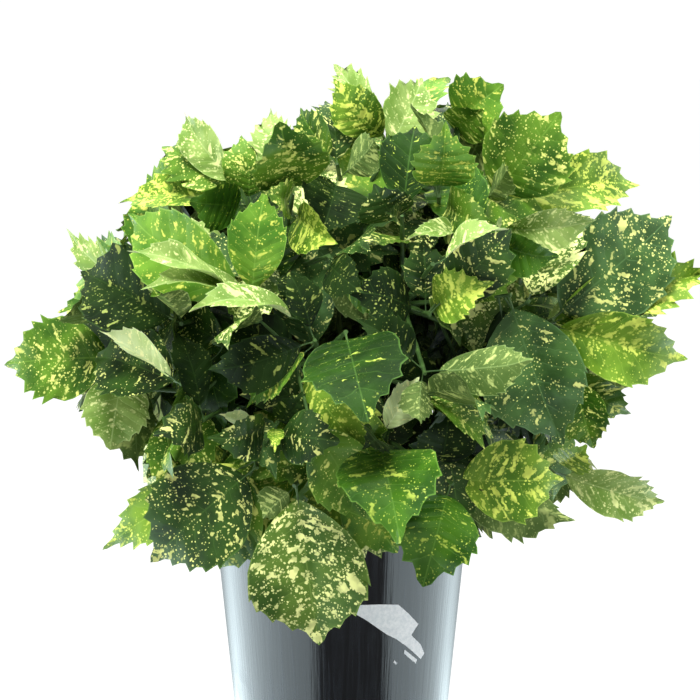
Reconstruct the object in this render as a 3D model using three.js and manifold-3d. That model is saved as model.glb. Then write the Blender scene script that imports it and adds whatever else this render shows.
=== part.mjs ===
// A spotted laurel in a tall round pot: a clump of stems, their boughs and the leafy masses at the
// boughs' ends. Millimetres, +Z up. The origin is the centre of the pot's flat underside and the
// front of the plant faces -Y.
import * as THREE from "three";
import { mergeVertices } from "three/addons/utils/BufferGeometryUtils.js";
import Module from "manifold-3d";

const wasm = await Module();
wasm.setup();

const vector = (x, y, z) => new THREE.Vector3(x, y, z);
const degrees = THREE.MathUtils.degToRad;
const UP = vector(0, 0, 1);

// Pot and soil
const POT_HEIGHT = 300;
const POT_BASE_RADIUS = 102;
const POT_TOP_RADIUS = 130;
const POT_WALL = 2.6;
const POT_FLOOR = 5;
const RIM_DEPTH = 11;
const RIM_STAND = 3;
const POT_SEGMENTS = 36;
const SOIL_BELOW_RIM = 28;
const SOIL_MOUND = 6;
const SOIL_SHOULDER = 26;
const CLEARANCE = 0.3;
const SOIL_TOP = POT_HEIGHT - SOIL_BELOW_RIM;

// Crown: reach is measured from its heart, out to the leaf tips
const CROWN_HEART = vector(0, 0, 470);
const CROWN_REACH = 272;
const SKIRT_EXTRA_REACH = 66;
const SKIRT_ANGLE = 92;
const SKIRT_SPREAD = 24;
const CROWN_TOP_ANGLE = 9;
const CROWN_LOW_ANGLE = 121;

// Limbs
const STEM_RING = 5;
const STEM_FOOT_RING = 34;
const STEM_FORK_RING = 62;
const STEM_FORK_HEIGHT = 398;
const MIDDLE_STEM_EXTRA = 34;
const STEM_SWAY = 9;
const STEM_FOOT_RADIUS = 10;
const STEM_FORK_RADIUS = 7;
const FLARE_RADIUS = 14;
const FLARE_HEIGHT = 14;
const MASS_COUNT = 24;
const BOUGH_RADIUS = 5.2;
const BOUGH_TIP_RADIUS = 3.6;
const FIRST_DROP = 0.12;
const NEXT_DROP = 0.17;
const BOUGH_BEND_SHARE = 0.42;
const MASS_START = 104;
const SPINE_END = 158;
const SPINE_RADIUS = 5.2;
const SPINE_END_RADIUS = 4.8;
const SHOOT_RADIUS = 2.4;
const STALK_RADIUS = 0.8;
const NODE_SPACING = 5;
const LOW_LEAF_DROOP = 0.7;
const GOLDEN_ANGLE = Math.PI * (3 - Math.sqrt(5));

// Leaves
const SHOOTS_PER_MASS = 3;
const SHOOT_TILT = 27;
const LEADER_TILT = 5;
const TIP_TO_REACH = 92;
const STALK_LENGTH = 13;
const LEAF_LENGTH = 122;
const LEAF_WIDTH_SHARE = 0.62;
const LEAF_THICKNESS_SHARE = 0.012;
const LEAST_LENGTH_TO_WIDTH = 1.3;
const INNER_LEAVES = 3;
const INNER_LEAF_SIZE = 0.8;
const TEST_MARGIN = 0.45;
const JOIN_TOLERANCE = 0.1;

// Cubic millimetres that a grown leaf may share with its own mass: at its foot alone, or where a
// front leaf has to cross its neighbour.
const ROOT_SHARE = 16;
const WEAVE_SHARE = 120;

// The front is set out as someone sees it from a little above, standing this far off. Across and
// up are measured on the upright plane through LOOK_AT, and out is the distance towards the eye.
const EYE_DISTANCE = 1800;
const EYE_PITCH = degrees(10);
const LOOK_AT = vector(9, 0, 453);
const TO_EYE = vector(0, -Math.cos(EYE_PITCH), Math.sin(EYE_PITCH));
const VIEW_UP = vector(0, Math.sin(EYE_PITCH), Math.cos(EYE_PITCH));
const EYE = LOOK_AT.clone().addScaledVector(TO_EYE, EYE_DISTANCE);

// How far leaves grown by rule may reach in that view, by the angle clockwise from straight up,
// measured about a point 20 above LOOK_AT on the pot's axis.
const VIEW_HEART_UP = 20;
const VIEW_REACH = [
  [-180, 236],
  [-150, 258],
  [-119, 240],
  [-98, 312],
  [-80, 278],
  [-60, 246],
  [-40, 248],
  [-26, 206],
  [-10, 222],
  [10, 240],
  [30, 268],
  [50, 272],
  [65, 308],
  [82, 338],
  [100, 286],
  [115, 262],
  [130, 280],
  [150, 250],
  [180, 236],
];

// Front sprays. heart: across, up and out of the twig's tip that the leaves grow from. Each leaf:
// across and up of its tip, its width, how far the tip stands out from the heart, and how far its
// face turns from the eye about its midrib, where past 90 the underside shows.
const FRONT_SPRAYS = [
  { heart: [-93, 45, 212], leaves: [
    [-219, 137, 80, -34, 12], [-77, 159, 60, 10, -8], [-191, 112, 50, -10, 116], [-206, 108, 46, -34, 112],
  ] },
  { heart: [-38, 33, 226], leaves: [
    [-150, 47, 56, 18, 118], [-54, 80, 40, -30, 30],
  ] },
  { heart: [-101, 162, 150], leaves: [
    [-158, 238, 48, -30, -20], [-183, 208, 62, -40, 8], [-225, 152, 52, -40, 48], [-151, 148, 54, 10, -18],
  ] },
  { heart: [-48, 156, 172], leaves: [
    [-60, 226, 62, -14, 10], [-72, 244, 42, -50, -20], [-73, 158, 40, 14, 25], [-4, 106, 52, 30, 22],
  ] },
  { heart: [-4, 186, 150], leaves: [
    [-44, 243, 34, -20, -20], [-14, 255, 42, -40, 15], [-20, 115, 76, 34, -10], [34, 210, 44, 6, 150],
  ] },
  { heart: [52, 206, 128], leaves: [
    [-8, 270, 52, -6, -14], [-8, 288, 52, -60, 14], [84, 275, 54, -40, 10], [110, 276, 40, -66, -30],
  ] },
  { heart: [98, 154, 178], leaves: [
    [105, 226, 56, 0, 6], [78, 247, 36, -26, 128], [105, 258, 40, -60, -12],
  ] },
  { heart: [61, 134, 192], leaves: [
    [74, 227, 58, -10, -6], [44, 138, 24, 16, 40], [33, 164, 60, 24, -18],
  ] },
  { heart: [108, 222, 104], leaves: [
    [161, 265, 68, -20, -6], [143, 240, 50, -30, 20],
  ] },
  { heart: [146, 148, 140], leaves: [
    [220, 237, 96, -20, 4], [168, 184, 34, 18, 140], [305, 170, 60, -60, -16],
  ] },
  { heart: [152, 121, 190], leaves: [
    [256, 130, 44, 10, 20], [97, 178, 62, 6, 10], [217, 92, 48, 20, 28],
  ] },
  { heart: [212, 30, 150], leaves: [
    [335, 136, 104, -24, 6], [350, -12, 70, -10, 10], [374, 80, 60, -50, -14], [331, 124, 44, -80, 20],
  ] },
  { heart: [89, 35, 222], leaves: [
    [171, 122, 64, -8, 6], [166, 126, 44, 26, 122], [60, 115, 40, 20, 112], [150, 68, 54, 4, -10],
    [12, 60, 62, 20, 24],
  ] },
  { heart: [170, 55, 186], leaves: [
    [220, -97, 106, 10, 8], [226, -40, 60, -44, 14],
  ] },
  { heart: [84, -24, 240], leaves: [
    [195, -12, 54, 26, 158], [17, 33, 46, 8, 22], [78, -75, 40, -6, 150],
  ] },
  { heart: [-12, 94, 214], leaves: [
    [64, 41, 44, 34, 36], [42, 26, 46, -10, 150], [20, 58, 46, -10, 14],
  ] },
  { heart: [5, 18, 246], leaves: [
    [26, -67, 108, 20, 0],
  ] },
  { heart: [-26, 10, 230], leaves: [
    [-52, 78, 42, 6, 30], [-132, -22, 60, 0, 14], [-98, -56, 40, 4, 36],
  ] },
  { heart: [-160, 26, 184], leaves: [
    [-265, 82, 82, -36, 4], [-279, 121, 48, -70, -32], [-188, 62, 44, 20, 124],
  ] },
  { heart: [-160, -34, 196], leaves: [
    [-242, 22, 48, 0, 118], [-250, -2, 80, -40, 16],
  ] },
  { heart: [-222, -8, 120], leaves: [
    [-339, -14, 86, -24, 8], [-231, -100, 68, 14, 4], [-202, -122, 54, 40, 28],
  ] },
  { heart: [-138, -70, 206], leaves: [
    [-167, 24, 42, 0, 30], [-178, -84, 44, 24, -14], [-176, -100, 40, 36, 116],
  ] },
  { heart: [-76, -92, 222], leaves: [
    [-122, -62, 34, 16, 118], [-6, -90, 58, 20, -10], [-36, -42, 44, 8, 24], [-128, -90, 50, 12, -20],
    [-66, -98, 18, 22, 0],
  ] },
  { heart: [-84, -118, 206], leaves: [
    [-193, -213, 108, -6, 6], [-140, -223, 68, -30, -10], [-244, -200, 54, -50, 12],
  ] },
  { heart: [-47, -136, 214], leaves: [
    [-22, -297, 124, -28, 4], [-79, -168, 40, -20, 160],
  ] },
  { heart: [38, -92, 232], leaves: [
    [59, -188, 108, 6, -4], [24, -98, 40, 20, 20], [79, -27, 40, 6, 150],
  ] },
  { heart: [112, -134, 190], leaves: [
    [82, -236, 86, 0, 6], [224, -130, 84, -4, 4], [234, -171, 66, -36, 158], [108, -66, 60, -30, 10],
  ] },
  { heart: [214, -124, 112], leaves: [
    [326, -153, 48, -30, 16], [246, -98, 44, -10, 36],
  ] },
  { heart: [234, -18, 128], leaves: [
    [253, -99, 54, -6, 10], [297, -30, 36, -14, 140], [290, -66, 46, -34, 24],
  ] },
];

// A fixed number from 0 to 1 for each set of keys.
function chance(...keys) {
  const weights = [12.9898, 78.233, 37.719, 9.131];
  const mixed = keys.reduce((sum, key, i) => sum + (key + 1) * weights[i], 0);
  const wave = Math.sin(mixed) * 43758.5453;
  return wave - Math.floor(wave);
}

const between = (low, high, share) => low + (high - low) * share;

// The point seen at across and up, brought out towards the eye.
function seen(across, up, out) {
  const onPlane = LOOK_AT.clone();
  onPlane.x = across;
  onPlane.addScaledVector(VIEW_UP, up);
  return onPlane.lerp(EYE, out / EYE_DISTANCE);
}

// Where a point shows: across, up and out.
function sightOf(point) {
  const offset = point.clone().sub(LOOK_AT);
  const out = offset.dot(TO_EYE);
  const scale = EYE_DISTANCE / (EYE_DISTANCE - out);
  return { across: LOOK_AT.x + offset.x * scale, up: offset.dot(VIEW_UP) * scale, out };
}

// The farthest a rule-grown leaf may show from the view's heart, at a clockwise angle in degrees.
function viewReach(angle) {
  const next = VIEW_REACH.findIndex(([limit]) => angle <= limit);
  const [a, reachA] = VIEW_REACH[Math.max(0, next - 1)];
  const [b, reachB] = VIEW_REACH[Math.max(1, next)];
  return between(reachA, reachB, (angle - a) / (b - a));
}

// The crown's reach in a direction from its heart: wider near the level, where the skirt spreads.
function reachTowards(direction) {
  const angle = THREE.MathUtils.radToDeg(Math.acos(direction.z));
  const spread = (angle - SKIRT_ANGLE) / SKIRT_SPREAD;
  return CROWN_REACH + SKIRT_EXTRA_REACH * Math.exp(-spread * spread);
}

// A vector square to the first, as near as possible to the second.
function squareTo(along, wanted) {
  const square = wanted.clone().addScaledVector(along, -wanted.dot(along));
  if (square.lengthSq() < 1e-6) square.set(1, 0, 0).addScaledVector(along, -along.x);
  return square.normalize();
}

// The direction tilted from an axis by an angle, towards a compass turn about that axis.
function tilted(axis, tilt, turn) {
  const first = squareTo(axis, Math.abs(axis.z) > 0.9 ? vector(1, 0, 0) : UP);
  const second = axis.clone().cross(first);
  return axis
    .clone()
    .multiplyScalar(Math.cos(tilt))
    .addScaledVector(first, Math.sin(tilt) * Math.cos(turn))
    .addScaledVector(second, Math.sin(tilt) * Math.sin(turn))
    .normalize();
}

function solidFrom(points, faces) {
  return new wasm.Manifold(
    new wasm.Mesh({
      numProp: 3,
      vertProperties: new Float32Array(points.flatMap((p) => [p.x, p.y, p.z])),
      triVerts: new Uint32Array(faces.flat()),
    }),
  );
}

function solidOfGeometry(geometry) {
  geometry.deleteAttribute("normal");
  geometry.deleteAttribute("uv");
  const merged = mergeVertices(geometry, 1e-4);
  return new wasm.Manifold(
    new wasm.Mesh({
      numProp: 3,
      vertProperties: merged.attributes.position.array,
      triVerts: new Uint32Array(merged.index.array),
    }),
  );
}

function geometryOf(solid) {
  const mesh = solid.getMesh();
  const geometry = new THREE.BufferGeometry();
  geometry.setAttribute("position", new THREE.BufferAttribute(mesh.vertProperties, 3));
  geometry.setIndex(new THREE.BufferAttribute(mesh.triVerts, 1));
  const flat = geometry.toNonIndexed();
  flat.computeVertexNormals();
  return flat;
}

// A tapering limb through the points, with a radius at each, and flat ends. ends gives the first and
// last cut's normal where they aren't square to the limb. Each ring starts where the one before it
// does, so the sides don't twist.
function limb(points, radii, sides, ends = []) {
  const rings = [];
  const outset = points[1].clone().sub(points[0]).normalize();
  let first = squareTo(outset, Math.abs(outset.z) > 0.8 ? vector(1, 0, 0) : UP);
  points.forEach((point, i) => {
    const before = points[Math.max(0, i - 1)];
    const after = points[Math.min(points.length - 1, i + 1)];
    const along = after.clone().sub(before).normalize();
    const cut = (i === 0 && ends[0]) || (i === points.length - 1 && ends[1]) || along;
    first = squareTo(along, first);
    const second = along.clone().cross(first);
    for (let k = 0; k < sides; k += 1) {
      const turn = (2 * Math.PI * k) / sides;
      const spoke = first.clone().multiplyScalar(Math.cos(turn)).addScaledVector(second, Math.sin(turn));
      const corner = spoke.multiplyScalar(radii[i]);
      corner.addScaledVector(along, -corner.dot(cut) / along.dot(cut));
      rings.push(corner.add(point));
    }
  });
  const faces = [];
  const last = (points.length - 1) * sides;
  for (let i = 0; i < last; i += sides) {
    for (let k = 0; k < sides; k += 1) {
      const next = (k + 1) % sides;
      faces.push([i + k, i + next, i + sides + next], [i + k, i + sides + next, i + sides + k]);
    }
  }
  for (let k = 1; k < sides - 1; k += 1) {
    faces.push([0, k + 1, k], [last, last + k, last + k + 1]);
  }
  return solidFrom(rings, faces);
}

// Where a blade's outline has a corner: shares of its length and of half its width, from the right
// of its stalk round its tip.
const BLADE_CORNERS = [
  [0.3, -0.96],
  [0.7, -0.78],
  [1, 0],
  [0.7, 0.78],
  [0.3, 0.96],
];
const BLADE_MIDDLE = 0.46;

// A point of a leaf's surface: along and across are shares of its length and half width, and raise
// is in millimetres along its face's normal.
function bladePoint(leaf, along, across, raise = 0) {
  const chord = leaf.tip.clone().sub(leaf.base);
  const length = chord.length();
  chord.normalize();
  const side = leaf.face.clone().cross(chord);
  const arch = leaf.arch * length * 4 * along * (1 - along);
  const fold = Math.abs(across) * (leaf.width / 2) * leaf.fold;
  return leaf.base
    .clone()
    .addScaledVector(chord, along * length)
    .addScaledVector(side, (across * leaf.width) / 2)
    .addScaledVector(leaf.face, arch + fold + raise);
}

// A leaf as a lens whose upper and under faces meet in the outline, each drawn to a point in the
// middle of the midrib, and whose foot is an upright edge sunk in its twig. A margin grows it all
// round, with a wall at the outline.
function leafSolid(leaf, from, margin = 0) {
  const half = Math.max(0.6, (leaf.tip.distanceTo(leaf.base) * LEAF_THICKNESS_SHARE) / 2) + margin;
  const grown = { ...leaf, width: leaf.width + 2 * margin };
  const outline = (raise) => BLADE_CORNERS.map(([along, across]) => bladePoint(grown, along, across, raise));
  const foot = [1, -1].map((way) => from.clone().addScaledVector(leaf.face, way * (STALK_RADIUS + margin)));
  const points = [...foot, ...outline(margin)];
  const upper = [2, 3, 4, 5, 6];
  const walled = margin > 0;
  if (walled) points.push(...outline(-margin));
  const under = walled ? [7, 8, 9, 10, 11] : upper;
  const over = points.push(bladePoint(grown, BLADE_MIDDLE, 0, half)) - 1;
  const below = points.push(bladePoint(grown, BLADE_MIDDLE, 0, -half)) - 1;
  const last = upper.length - 1;
  const faces = [
    [0, upper[0], over],
    [upper[last], 0, over],
    [under[0], 1, below],
    [1, under[last], below],
    [0, 1, under[0]],
    [1, 0, under[last]],
  ];
  if (walled) faces.push([0, under[0], upper[0]], [under[last], 0, upper[last]]);
  for (let i = 0; i < last; i += 1) {
    faces.push([upper[i], upper[i + 1], over], [under[i + 1], under[i], below]);
    if (walled) faces.push([upper[i], under[i], upper[i + 1]], [under[i], under[i + 1], upper[i + 1]]);
  }
  return solidFrom(points, faces);
}

const MASSES = Array.from({ length: MASS_COUNT }, (_, k) => {
  const share = (k + 0.5) / MASS_COUNT;
  const top = Math.cos(degrees(CROWN_TOP_ANGLE));
  const low = Math.cos(degrees(CROWN_LOW_ANGLE));
  const z = between(top, low, share);
  const ring = Math.sqrt(1 - z * z);
  const turn = k * GOLDEN_ANGLE;
  const axis = vector(ring * Math.cos(turn), ring * Math.sin(turn), z);
  const pointAt = (distance) => CROWN_HEART.clone().addScaledVector(axis, distance);
  return { index: k, axis, start: pointAt(MASS_START), end: pointAt(SPINE_END), pieces: [] };
});

// Everything placed so far, with the mass it belongs to (null for pot, soil and limbs).
const placed = [];

function keep(solid, owner) {
  const box = solid.boundingBox();
  placed.push({ solid, owner, min: box.min, max: box.max });
}

// Whether a piece meets another mass, limb or pot at all, or its own mass by more than its share.
function meetsOthers(solid, owner, ownShare) {
  const { min, max } = solid.boundingBox();
  return placed.some((other) => {
    if ([0, 1, 2].some((i) => other.min[i] > max[i] || other.max[i] < min[i])) return false;
    const common = solid.intersect(other.solid);
    return other.owner === owner ? common.volume() > ownShare : !common.isEmpty();
  });
}

const latheAbout = (profile) => {
  const points = profile.map(([radius, height]) => new THREE.Vector2(radius, height));
  return new THREE.LatheGeometry(points, POT_SEGMENTS).rotateX(Math.PI / 2);
};

const potRadiusAt = (height) => between(POT_BASE_RADIUS, POT_TOP_RADIUS, height / POT_HEIGHT);

// A thin-walled tapering pot with a flat underside and a rim band that stands out round the top.
function potGeometry() {
  const bandLow = POT_HEIGHT - RIM_DEPTH;
  const rim = potRadiusAt(POT_HEIGHT) + RIM_STAND;
  return latheAbout([
    [0, 0],
    [POT_BASE_RADIUS - 3, 0],
    [POT_BASE_RADIUS, 3],
    [potRadiusAt(bandLow), bandLow],
    [rim, bandLow + 1.5],
    [rim + 0.6, POT_HEIGHT - 2],
    [rim - 0.8, POT_HEIGHT],
    [potRadiusAt(POT_HEIGHT) - POT_WALL, POT_HEIGHT],
    [potRadiusAt(POT_FLOOR) - POT_WALL, POT_FLOOR],
    [0, POT_FLOOR],
  ]);
}

// The soil fills the pot to below its rim, a hair clear of the wall, and rises a little in the
// middle round the stems' flat feet.
function soilGeometry() {
  const gap = POT_WALL + CLEARANCE;
  const foot = POT_FLOOR + CLEARANCE;
  return latheAbout([
    [0, foot],
    [potRadiusAt(foot) - gap, foot],
    [potRadiusAt(SOIL_TOP - SOIL_MOUND) - gap, SOIL_TOP - SOIL_MOUND],
    [STEM_FOOT_RING + FLARE_RADIUS + SOIL_SHOULDER, SOIL_TOP],
    [0, SOIL_TOP],
  ]);
}

// Stems: one up the middle and a ring round it, each with a flared foot and a fork at its top.
function stemPath(index) {
  const foot = SOIL_TOP + CLEARANCE;
  const middle = index === 0;
  const turn = degrees(20) + (2 * Math.PI * (index - 1)) / STEM_RING;
  const outward = middle ? vector(0, 0, 0) : vector(Math.cos(turn), Math.sin(turn), 0);
  const ring = (distance, height) => outward.clone().multiplyScalar(distance).setZ(height);
  const forkHeight = STEM_FORK_HEIGHT + (middle ? MIDDLE_STEM_EXTRA : 0);
  const sway = vector(chance(index, 1) - 0.5, chance(index, 2) - 0.5, 0).multiplyScalar(STEM_SWAY);
  const bend = ring(between(STEM_FOOT_RING, STEM_FORK_RING, 0.34), between(foot, forkHeight, 0.55));
  return [
    ring(STEM_FOOT_RING, foot),
    ring(STEM_FOOT_RING + 0.5, foot + FLARE_HEIGHT),
    bend.add(sway),
    ring(STEM_FORK_RING, forkHeight),
  ];
}

const STEM_RADII = [
  FLARE_RADIUS,
  STEM_FOOT_RADIUS,
  between(STEM_FOOT_RADIUS, STEM_FORK_RADIUS, 0.5),
  STEM_FORK_RADIUS,
];

const grownBy = (radii, margin) => radii.map((radius) => radius + margin);

// The limb less what stands in its way, each grown by the clearance. Only its main body is kept.
function clearOf(solid, others) {
  const cut = others.reduce((rest, other) => rest.subtract(other), solid);
  return cut.decompose().reduce((best, body) => (body.volume() > best.volume() ? body : best));
}

const nodes = [];
const limbMargins = [];

function addLimb(name, material, points, radii, sides, ends) {
  const solid = clearOf(limb(points, radii, sides, ends), limbMargins);
  limbMargins.push(limb(points, grownBy(radii, CLEARANCE), sides, ends));
  nodes.push({ name, solid, material });
  keep(limb(points, grownBy(radii, TEST_MARGIN), sides, ends), null);
}

const barkMaterial = new THREE.MeshStandardMaterial({ color: 0x5d6b3a, roughness: 0.7 });
const leafMaterial = new THREE.MeshStandardMaterial({ color: 0x3f7a2c, roughness: 0.42 });
const potMaterial = new THREE.MeshStandardMaterial({ color: 0x101216, roughness: 0.22 });
const soilMaterial = new THREE.MeshStandardMaterial({ color: 0x2b2019, roughness: 0.95 });

const stemPaths = Array.from({ length: STEM_RING + 1 }, (_, i) => stemPath(i));

function addStems() {
  stemPaths.forEach((path, i) => {
    addLimb(`stem_${i + 1}`, barkMaterial, path, STEM_RADII, 8, [UP, undefined]);
  });
}

// Which stem's fork is nearest to where a mass begins.
function nearestStem(mass) {
  const distances = stemPaths.map((path) => path.at(-1).distanceTo(mass.start));
  return distances.indexOf(Math.min(...distances));
}

// One bough to each mass: it leaves its stem at the fork, or a little lower for each bough that is
// there already, swings out and ends where the mass begins, pointing the way the mass grows.
function addBoughs() {
  const taken = stemPaths.map(() => 0);
  MASSES.forEach((mass) => {
    const stem = nearestStem(mass);
    const path = stemPaths[stem];
    const order = taken[stem];
    taken[stem] += 1;
    const fork = path.at(-1);
    const below = path.at(-2);
    const root = fork.clone().lerp(below, order === 0 ? 0 : FIRST_DROP + NEXT_DROP * (order - 1));
    const finish = mass.start.clone().addScaledVector(mass.axis, -CLEARANCE);
    const bend = finish.clone().addScaledVector(mass.axis, -BOUGH_BEND_SHARE * finish.distanceTo(root));
    const radii = [BOUGH_RADIUS, between(BOUGH_RADIUS, BOUGH_TIP_RADIUS, 0.55), BOUGH_TIP_RADIUS];
    addLimb(`bough_${mass.index + 1}`, barkMaterial, [root, bend, finish], radii, 5);
  });
}

// A twig or leaf joins its mass if it, grown by the margin, has room, and reports whether it did.
function join(mass, solid, grown, ownShare = ROOT_SHARE) {
  if (meetsOthers(grown, mass.index, ownShare)) return false;
  mass.pieces.push(solid);
  keep(grown, mass.index);
  return true;
}

function twig(mass, points, radius) {
  const radii = points.map(() => radius);
  return join(mass, limb(points, radii, 3), limb(points, grownBy(radii, TEST_MARGIN), 3), Infinity);
}

function addSpines() {
  MASSES.forEach((mass) => {
    const radii = [SPINE_RADIUS, SPINE_END_RADIUS];
    mass.pieces.push(limb([mass.start, mass.end], radii, 3));
    keep(limb([mass.start, mass.end], grownBy(radii, TEST_MARGIN), 3), mass.index);
  });
}

function addLeaf(mass, from, leaf, ownShare) {
  return join(mass, leafSolid(leaf, from), leafSolid(leaf, from, TEST_MARGIN), ownShare);
}

// A front leaf, with its tip brought out far enough that the leaf is longer than it is wide.
function frontLeaf(from, heart, [across, up, width, out, turn], spray, number, shift) {
  const flat = Math.hypot(across - heart[0], up - heart[1]);
  const least = LEAST_LENGTH_TO_WIDTH * width;
  const foreshortened = flat < least ? Math.sqrt(least * least - flat * flat) : 0;
  const depth = heart[2] + out + foreshortened + shift;
  const tip = seen(across, up, depth);
  const chord = tip.clone().sub(from).normalize();
  const base = from.clone().addScaledVector(chord, STALK_LENGTH);
  const facing = squareTo(chord, EYE.clone().sub(base));
  const aside = chord.clone().cross(facing);
  const angle = degrees(turn);
  const face = facing.multiplyScalar(Math.cos(angle)).addScaledVector(aside, Math.sin(angle));
  return {
    base,
    tip,
    face,
    width: width * (1 - depth / EYE_DISTANCE),
    arch: between(0.02, 0.1, chance(spray, number, 1)),
    fold: between(-0.05, 0.2, chance(spray, number, 2)),
  };
}

const twigStart = (mass) => mass.end.clone().lerp(mass.start, 0.25);

// How far a front leaf may move along the line of sight, nearest first.
const SHIFTS = [0, 7, -7, 14, -14, 21, -21, 30, -30, 40, -40, 52, -52, 66, -66, 84, -84];
const frontLeaves = [];

// Each front spray hangs on the mass whose spine is nearest to its heart, or the next one that a
// twig can reach. A leaf with no room is moved along the line of sight, where it looks the same.
function addFrontSprays() {
  FRONT_SPRAYS.forEach(({ heart, leaves }, spray) => {
    const top = seen(...heart);
    const near = MASSES.toSorted((a, b) => a.end.distanceTo(top) - b.end.distanceTo(top));
    const mass = near.find((candidate) => twig(candidate, [twigStart(candidate), top], SHOOT_RADIUS));
    if (!mass) throw new Error(`no twig can reach front spray ${spray}`);
    const downTwig = twigStart(mass).sub(top).normalize();
    leaves.forEach((row, number) => {
      const from = top.clone().addScaledVector(downTwig, 3 + NODE_SPACING * number);
      const room = [ROOT_SHARE, WEAVE_SHARE, Infinity].some((ownShare) =>
        SHIFTS.some((shift) => {
          const leaf = frontLeaf(from, heart, row, spray, number, shift);
          const fits = addLeaf(mass, from, leaf, ownShare);
          if (fits) frontLeaves.push(leaf);
          return fits;
        }),
      );
      if (!room) throw new Error(`leaf ${number} of front spray ${spray} has no room`);
    });
  });
}

// A front leaf shows as an ellipse at least this long and wide, and a leaf within it that stands
// out as far as its middle, less a little, would hide it.
const LEAST_SEEN_HALF_LENGTH = 12;
const LEAST_SEEN_HALF_WIDTH = 10;
const HIDING_DEPTH = 6;
const MIDRIB_SPOTS = [0.3, 0.65, 1];

// Whether a leaf would show in front of one of the front leaves.
function hidesFront(leaf) {
  const spots = MIDRIB_SPOTS.map((along) => sightOf(bladePoint(leaf, along, 0)));
  return frontLeaves.some((front) => {
    const middle = sightOf(bladePoint(front, 0.5, 0));
    const tip = sightOf(front.tip);
    const alongAcross = tip.across - middle.across;
    const alongUp = tip.up - middle.up;
    const half = Math.max(LEAST_SEEN_HALF_LENGTH, Math.hypot(alongAcross, alongUp));
    const wide = Math.max(LEAST_SEEN_HALF_WIDTH, front.width * 0.5);
    return spots.some((spot) => {
      const across = spot.across - middle.across;
      const up = spot.up - middle.up;
      const lengthwise = (across * alongAcross + up * alongUp) / (half * half);
      const sideways = (across * alongUp - up * alongAcross) / (half * wide);
      return lengthwise ** 2 + sideways ** 2 < 1 && spot.out > middle.out - HIDING_DEPTH;
    });
  });
}

// Whether a point lies past the crown's reach, all round or as seen from the front.
function beyondCrown(point) {
  const fromHeart = point.clone().sub(CROWN_HEART);
  const distance = fromHeart.length();
  if (distance > reachTowards(fromHeart.divideScalar(distance))) return true;
  const sight = sightOf(point);
  const up = sight.up - VIEW_HEART_UP;
  const angle = THREE.MathUtils.radToDeg(Math.atan2(sight.across, up));
  return Math.hypot(sight.across, up) > viewReach(angle);
}

// What a rule-grown leaf tries until it has room: its size and its further turn about the shoot.
const TRIES = [
  [1, 0],
  [1, 28],
  [1, -28],
  [0.86, 0],
  [0.86, 52],
  [0.86, -52],
  [0.72, 0],
  [0.72, 78],
  [0.72, -78],
  [0.6, 20],
  [0.6, -35],
  [0.6, 120],
];

// Leaves of one shoot, from the lowest pair to the whorl at its tip: share of the shoot's length,
// turn about it, lean away from it and size.
const SHOOT_LEAVES = [
  [0.52, 0, 84, 1.1],
  [0.58, 180, 80, 1.06],
  [0.74, 95, 66, 1.06],
  [0.8, 275, 62, 1.02],
  [0.9, 20, 44, 0.94],
  [0.96, 195, 38, 0.88],
];

function ruleLeaf(shoot, number, [size, shift]) {
  const [share, turn, lean, scale] = shoot.leaves[number];
  const at = (trait) => chance(shoot.mass.index, shoot.index, number, trait);
  const tilt = degrees(lean + between(-13, 13, at(1)));
  const way = tilted(shoot.axis, tilt, degrees(turn + shift + between(-24, 24, at(2))) + shoot.twist);
  way.z -= between(0.02, 0.24, at(3)) + Math.max(0, -shoot.axis.z) * LOW_LEAF_DROOP;
  way.normalize();
  const length = LEAF_LENGTH * scale * size * between(0.86, 1.14, at(4));
  const from = shoot.from.clone().lerp(shoot.tip, share);
  const base = from.clone().addScaledVector(way, STALK_LENGTH);
  const tip = base.clone().addScaledVector(way, length);
  const upward = squareTo(way, shoot.axis.clone().addScaledVector(UP, 0.7));
  const aside = way.clone().cross(upward);
  const roll = degrees(between(-28, 28, at(5)));
  const face = upward.multiplyScalar(Math.cos(roll)).addScaledVector(aside, Math.sin(roll));
  const width = length * LEAF_WIDTH_SHARE * between(0.88, 1.1, at(6));
  const arch = between(0.03, 0.12, at(7));
  const fold = between(-0.04, 0.22, at(8));
  return { from, leaf: { base, tip, face, width, arch, fold } };
}

function shootOf(mass, index) {
  const spin = 2 * Math.PI * chance(mass.index, index, 30);
  const spread = SHOOT_TILT * between(0.8, 1.25, chance(mass.index, index, 31));
  const tilt = degrees(index === 0 ? LEADER_TILT : spread);
  const opposite = index === 2 ? Math.PI : 0;
  const axis = tilted(mass.axis, tilt, 2 * Math.PI * chance(mass.index, 40) + opposite + spin * 0.12);
  const from = mass.end.clone().lerp(mass.start, index === 0 ? 0.05 : 0.35);
  const outer = reachTowards(axis) - TIP_TO_REACH * between(0.86, 1.25, chance(mass.index, index, 32));
  const tip = CROWN_HEART.clone().addScaledVector(axis, outer);
  const along = tip.clone().sub(from).normalize();
  return { mass, index, from, tip, axis: along, twist: spin, leaves: SHOOT_LEAVES };
}

// A mass's spine as a shoot that carries the crown's few inner leaves.
function spineOf(mass) {
  const leaves = Array.from({ length: INNER_LEAVES }, (_, i) => {
    return [(i + 1) / (INNER_LEAVES + 1), 137.5 * i, 78 - 7 * i, INNER_LEAF_SIZE];
  });
  const { index, start, end, axis } = mass;
  return { mass, index: SHOOTS_PER_MASS, from: start, tip: end, axis, twist: index, leaves };
}

const shoots = [];
const spines = [];

function addShoots() {
  MASSES.forEach((mass) => {
    for (let index = 0; index < SHOOTS_PER_MASS; index += 1) {
      const shoot = shootOf(mass, index);
      if (twig(mass, [shoot.from, shoot.tip], SHOOT_RADIUS)) shoots.push(shoot);
    }
    spines.push(spineOf(mass));
  });
}

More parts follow.
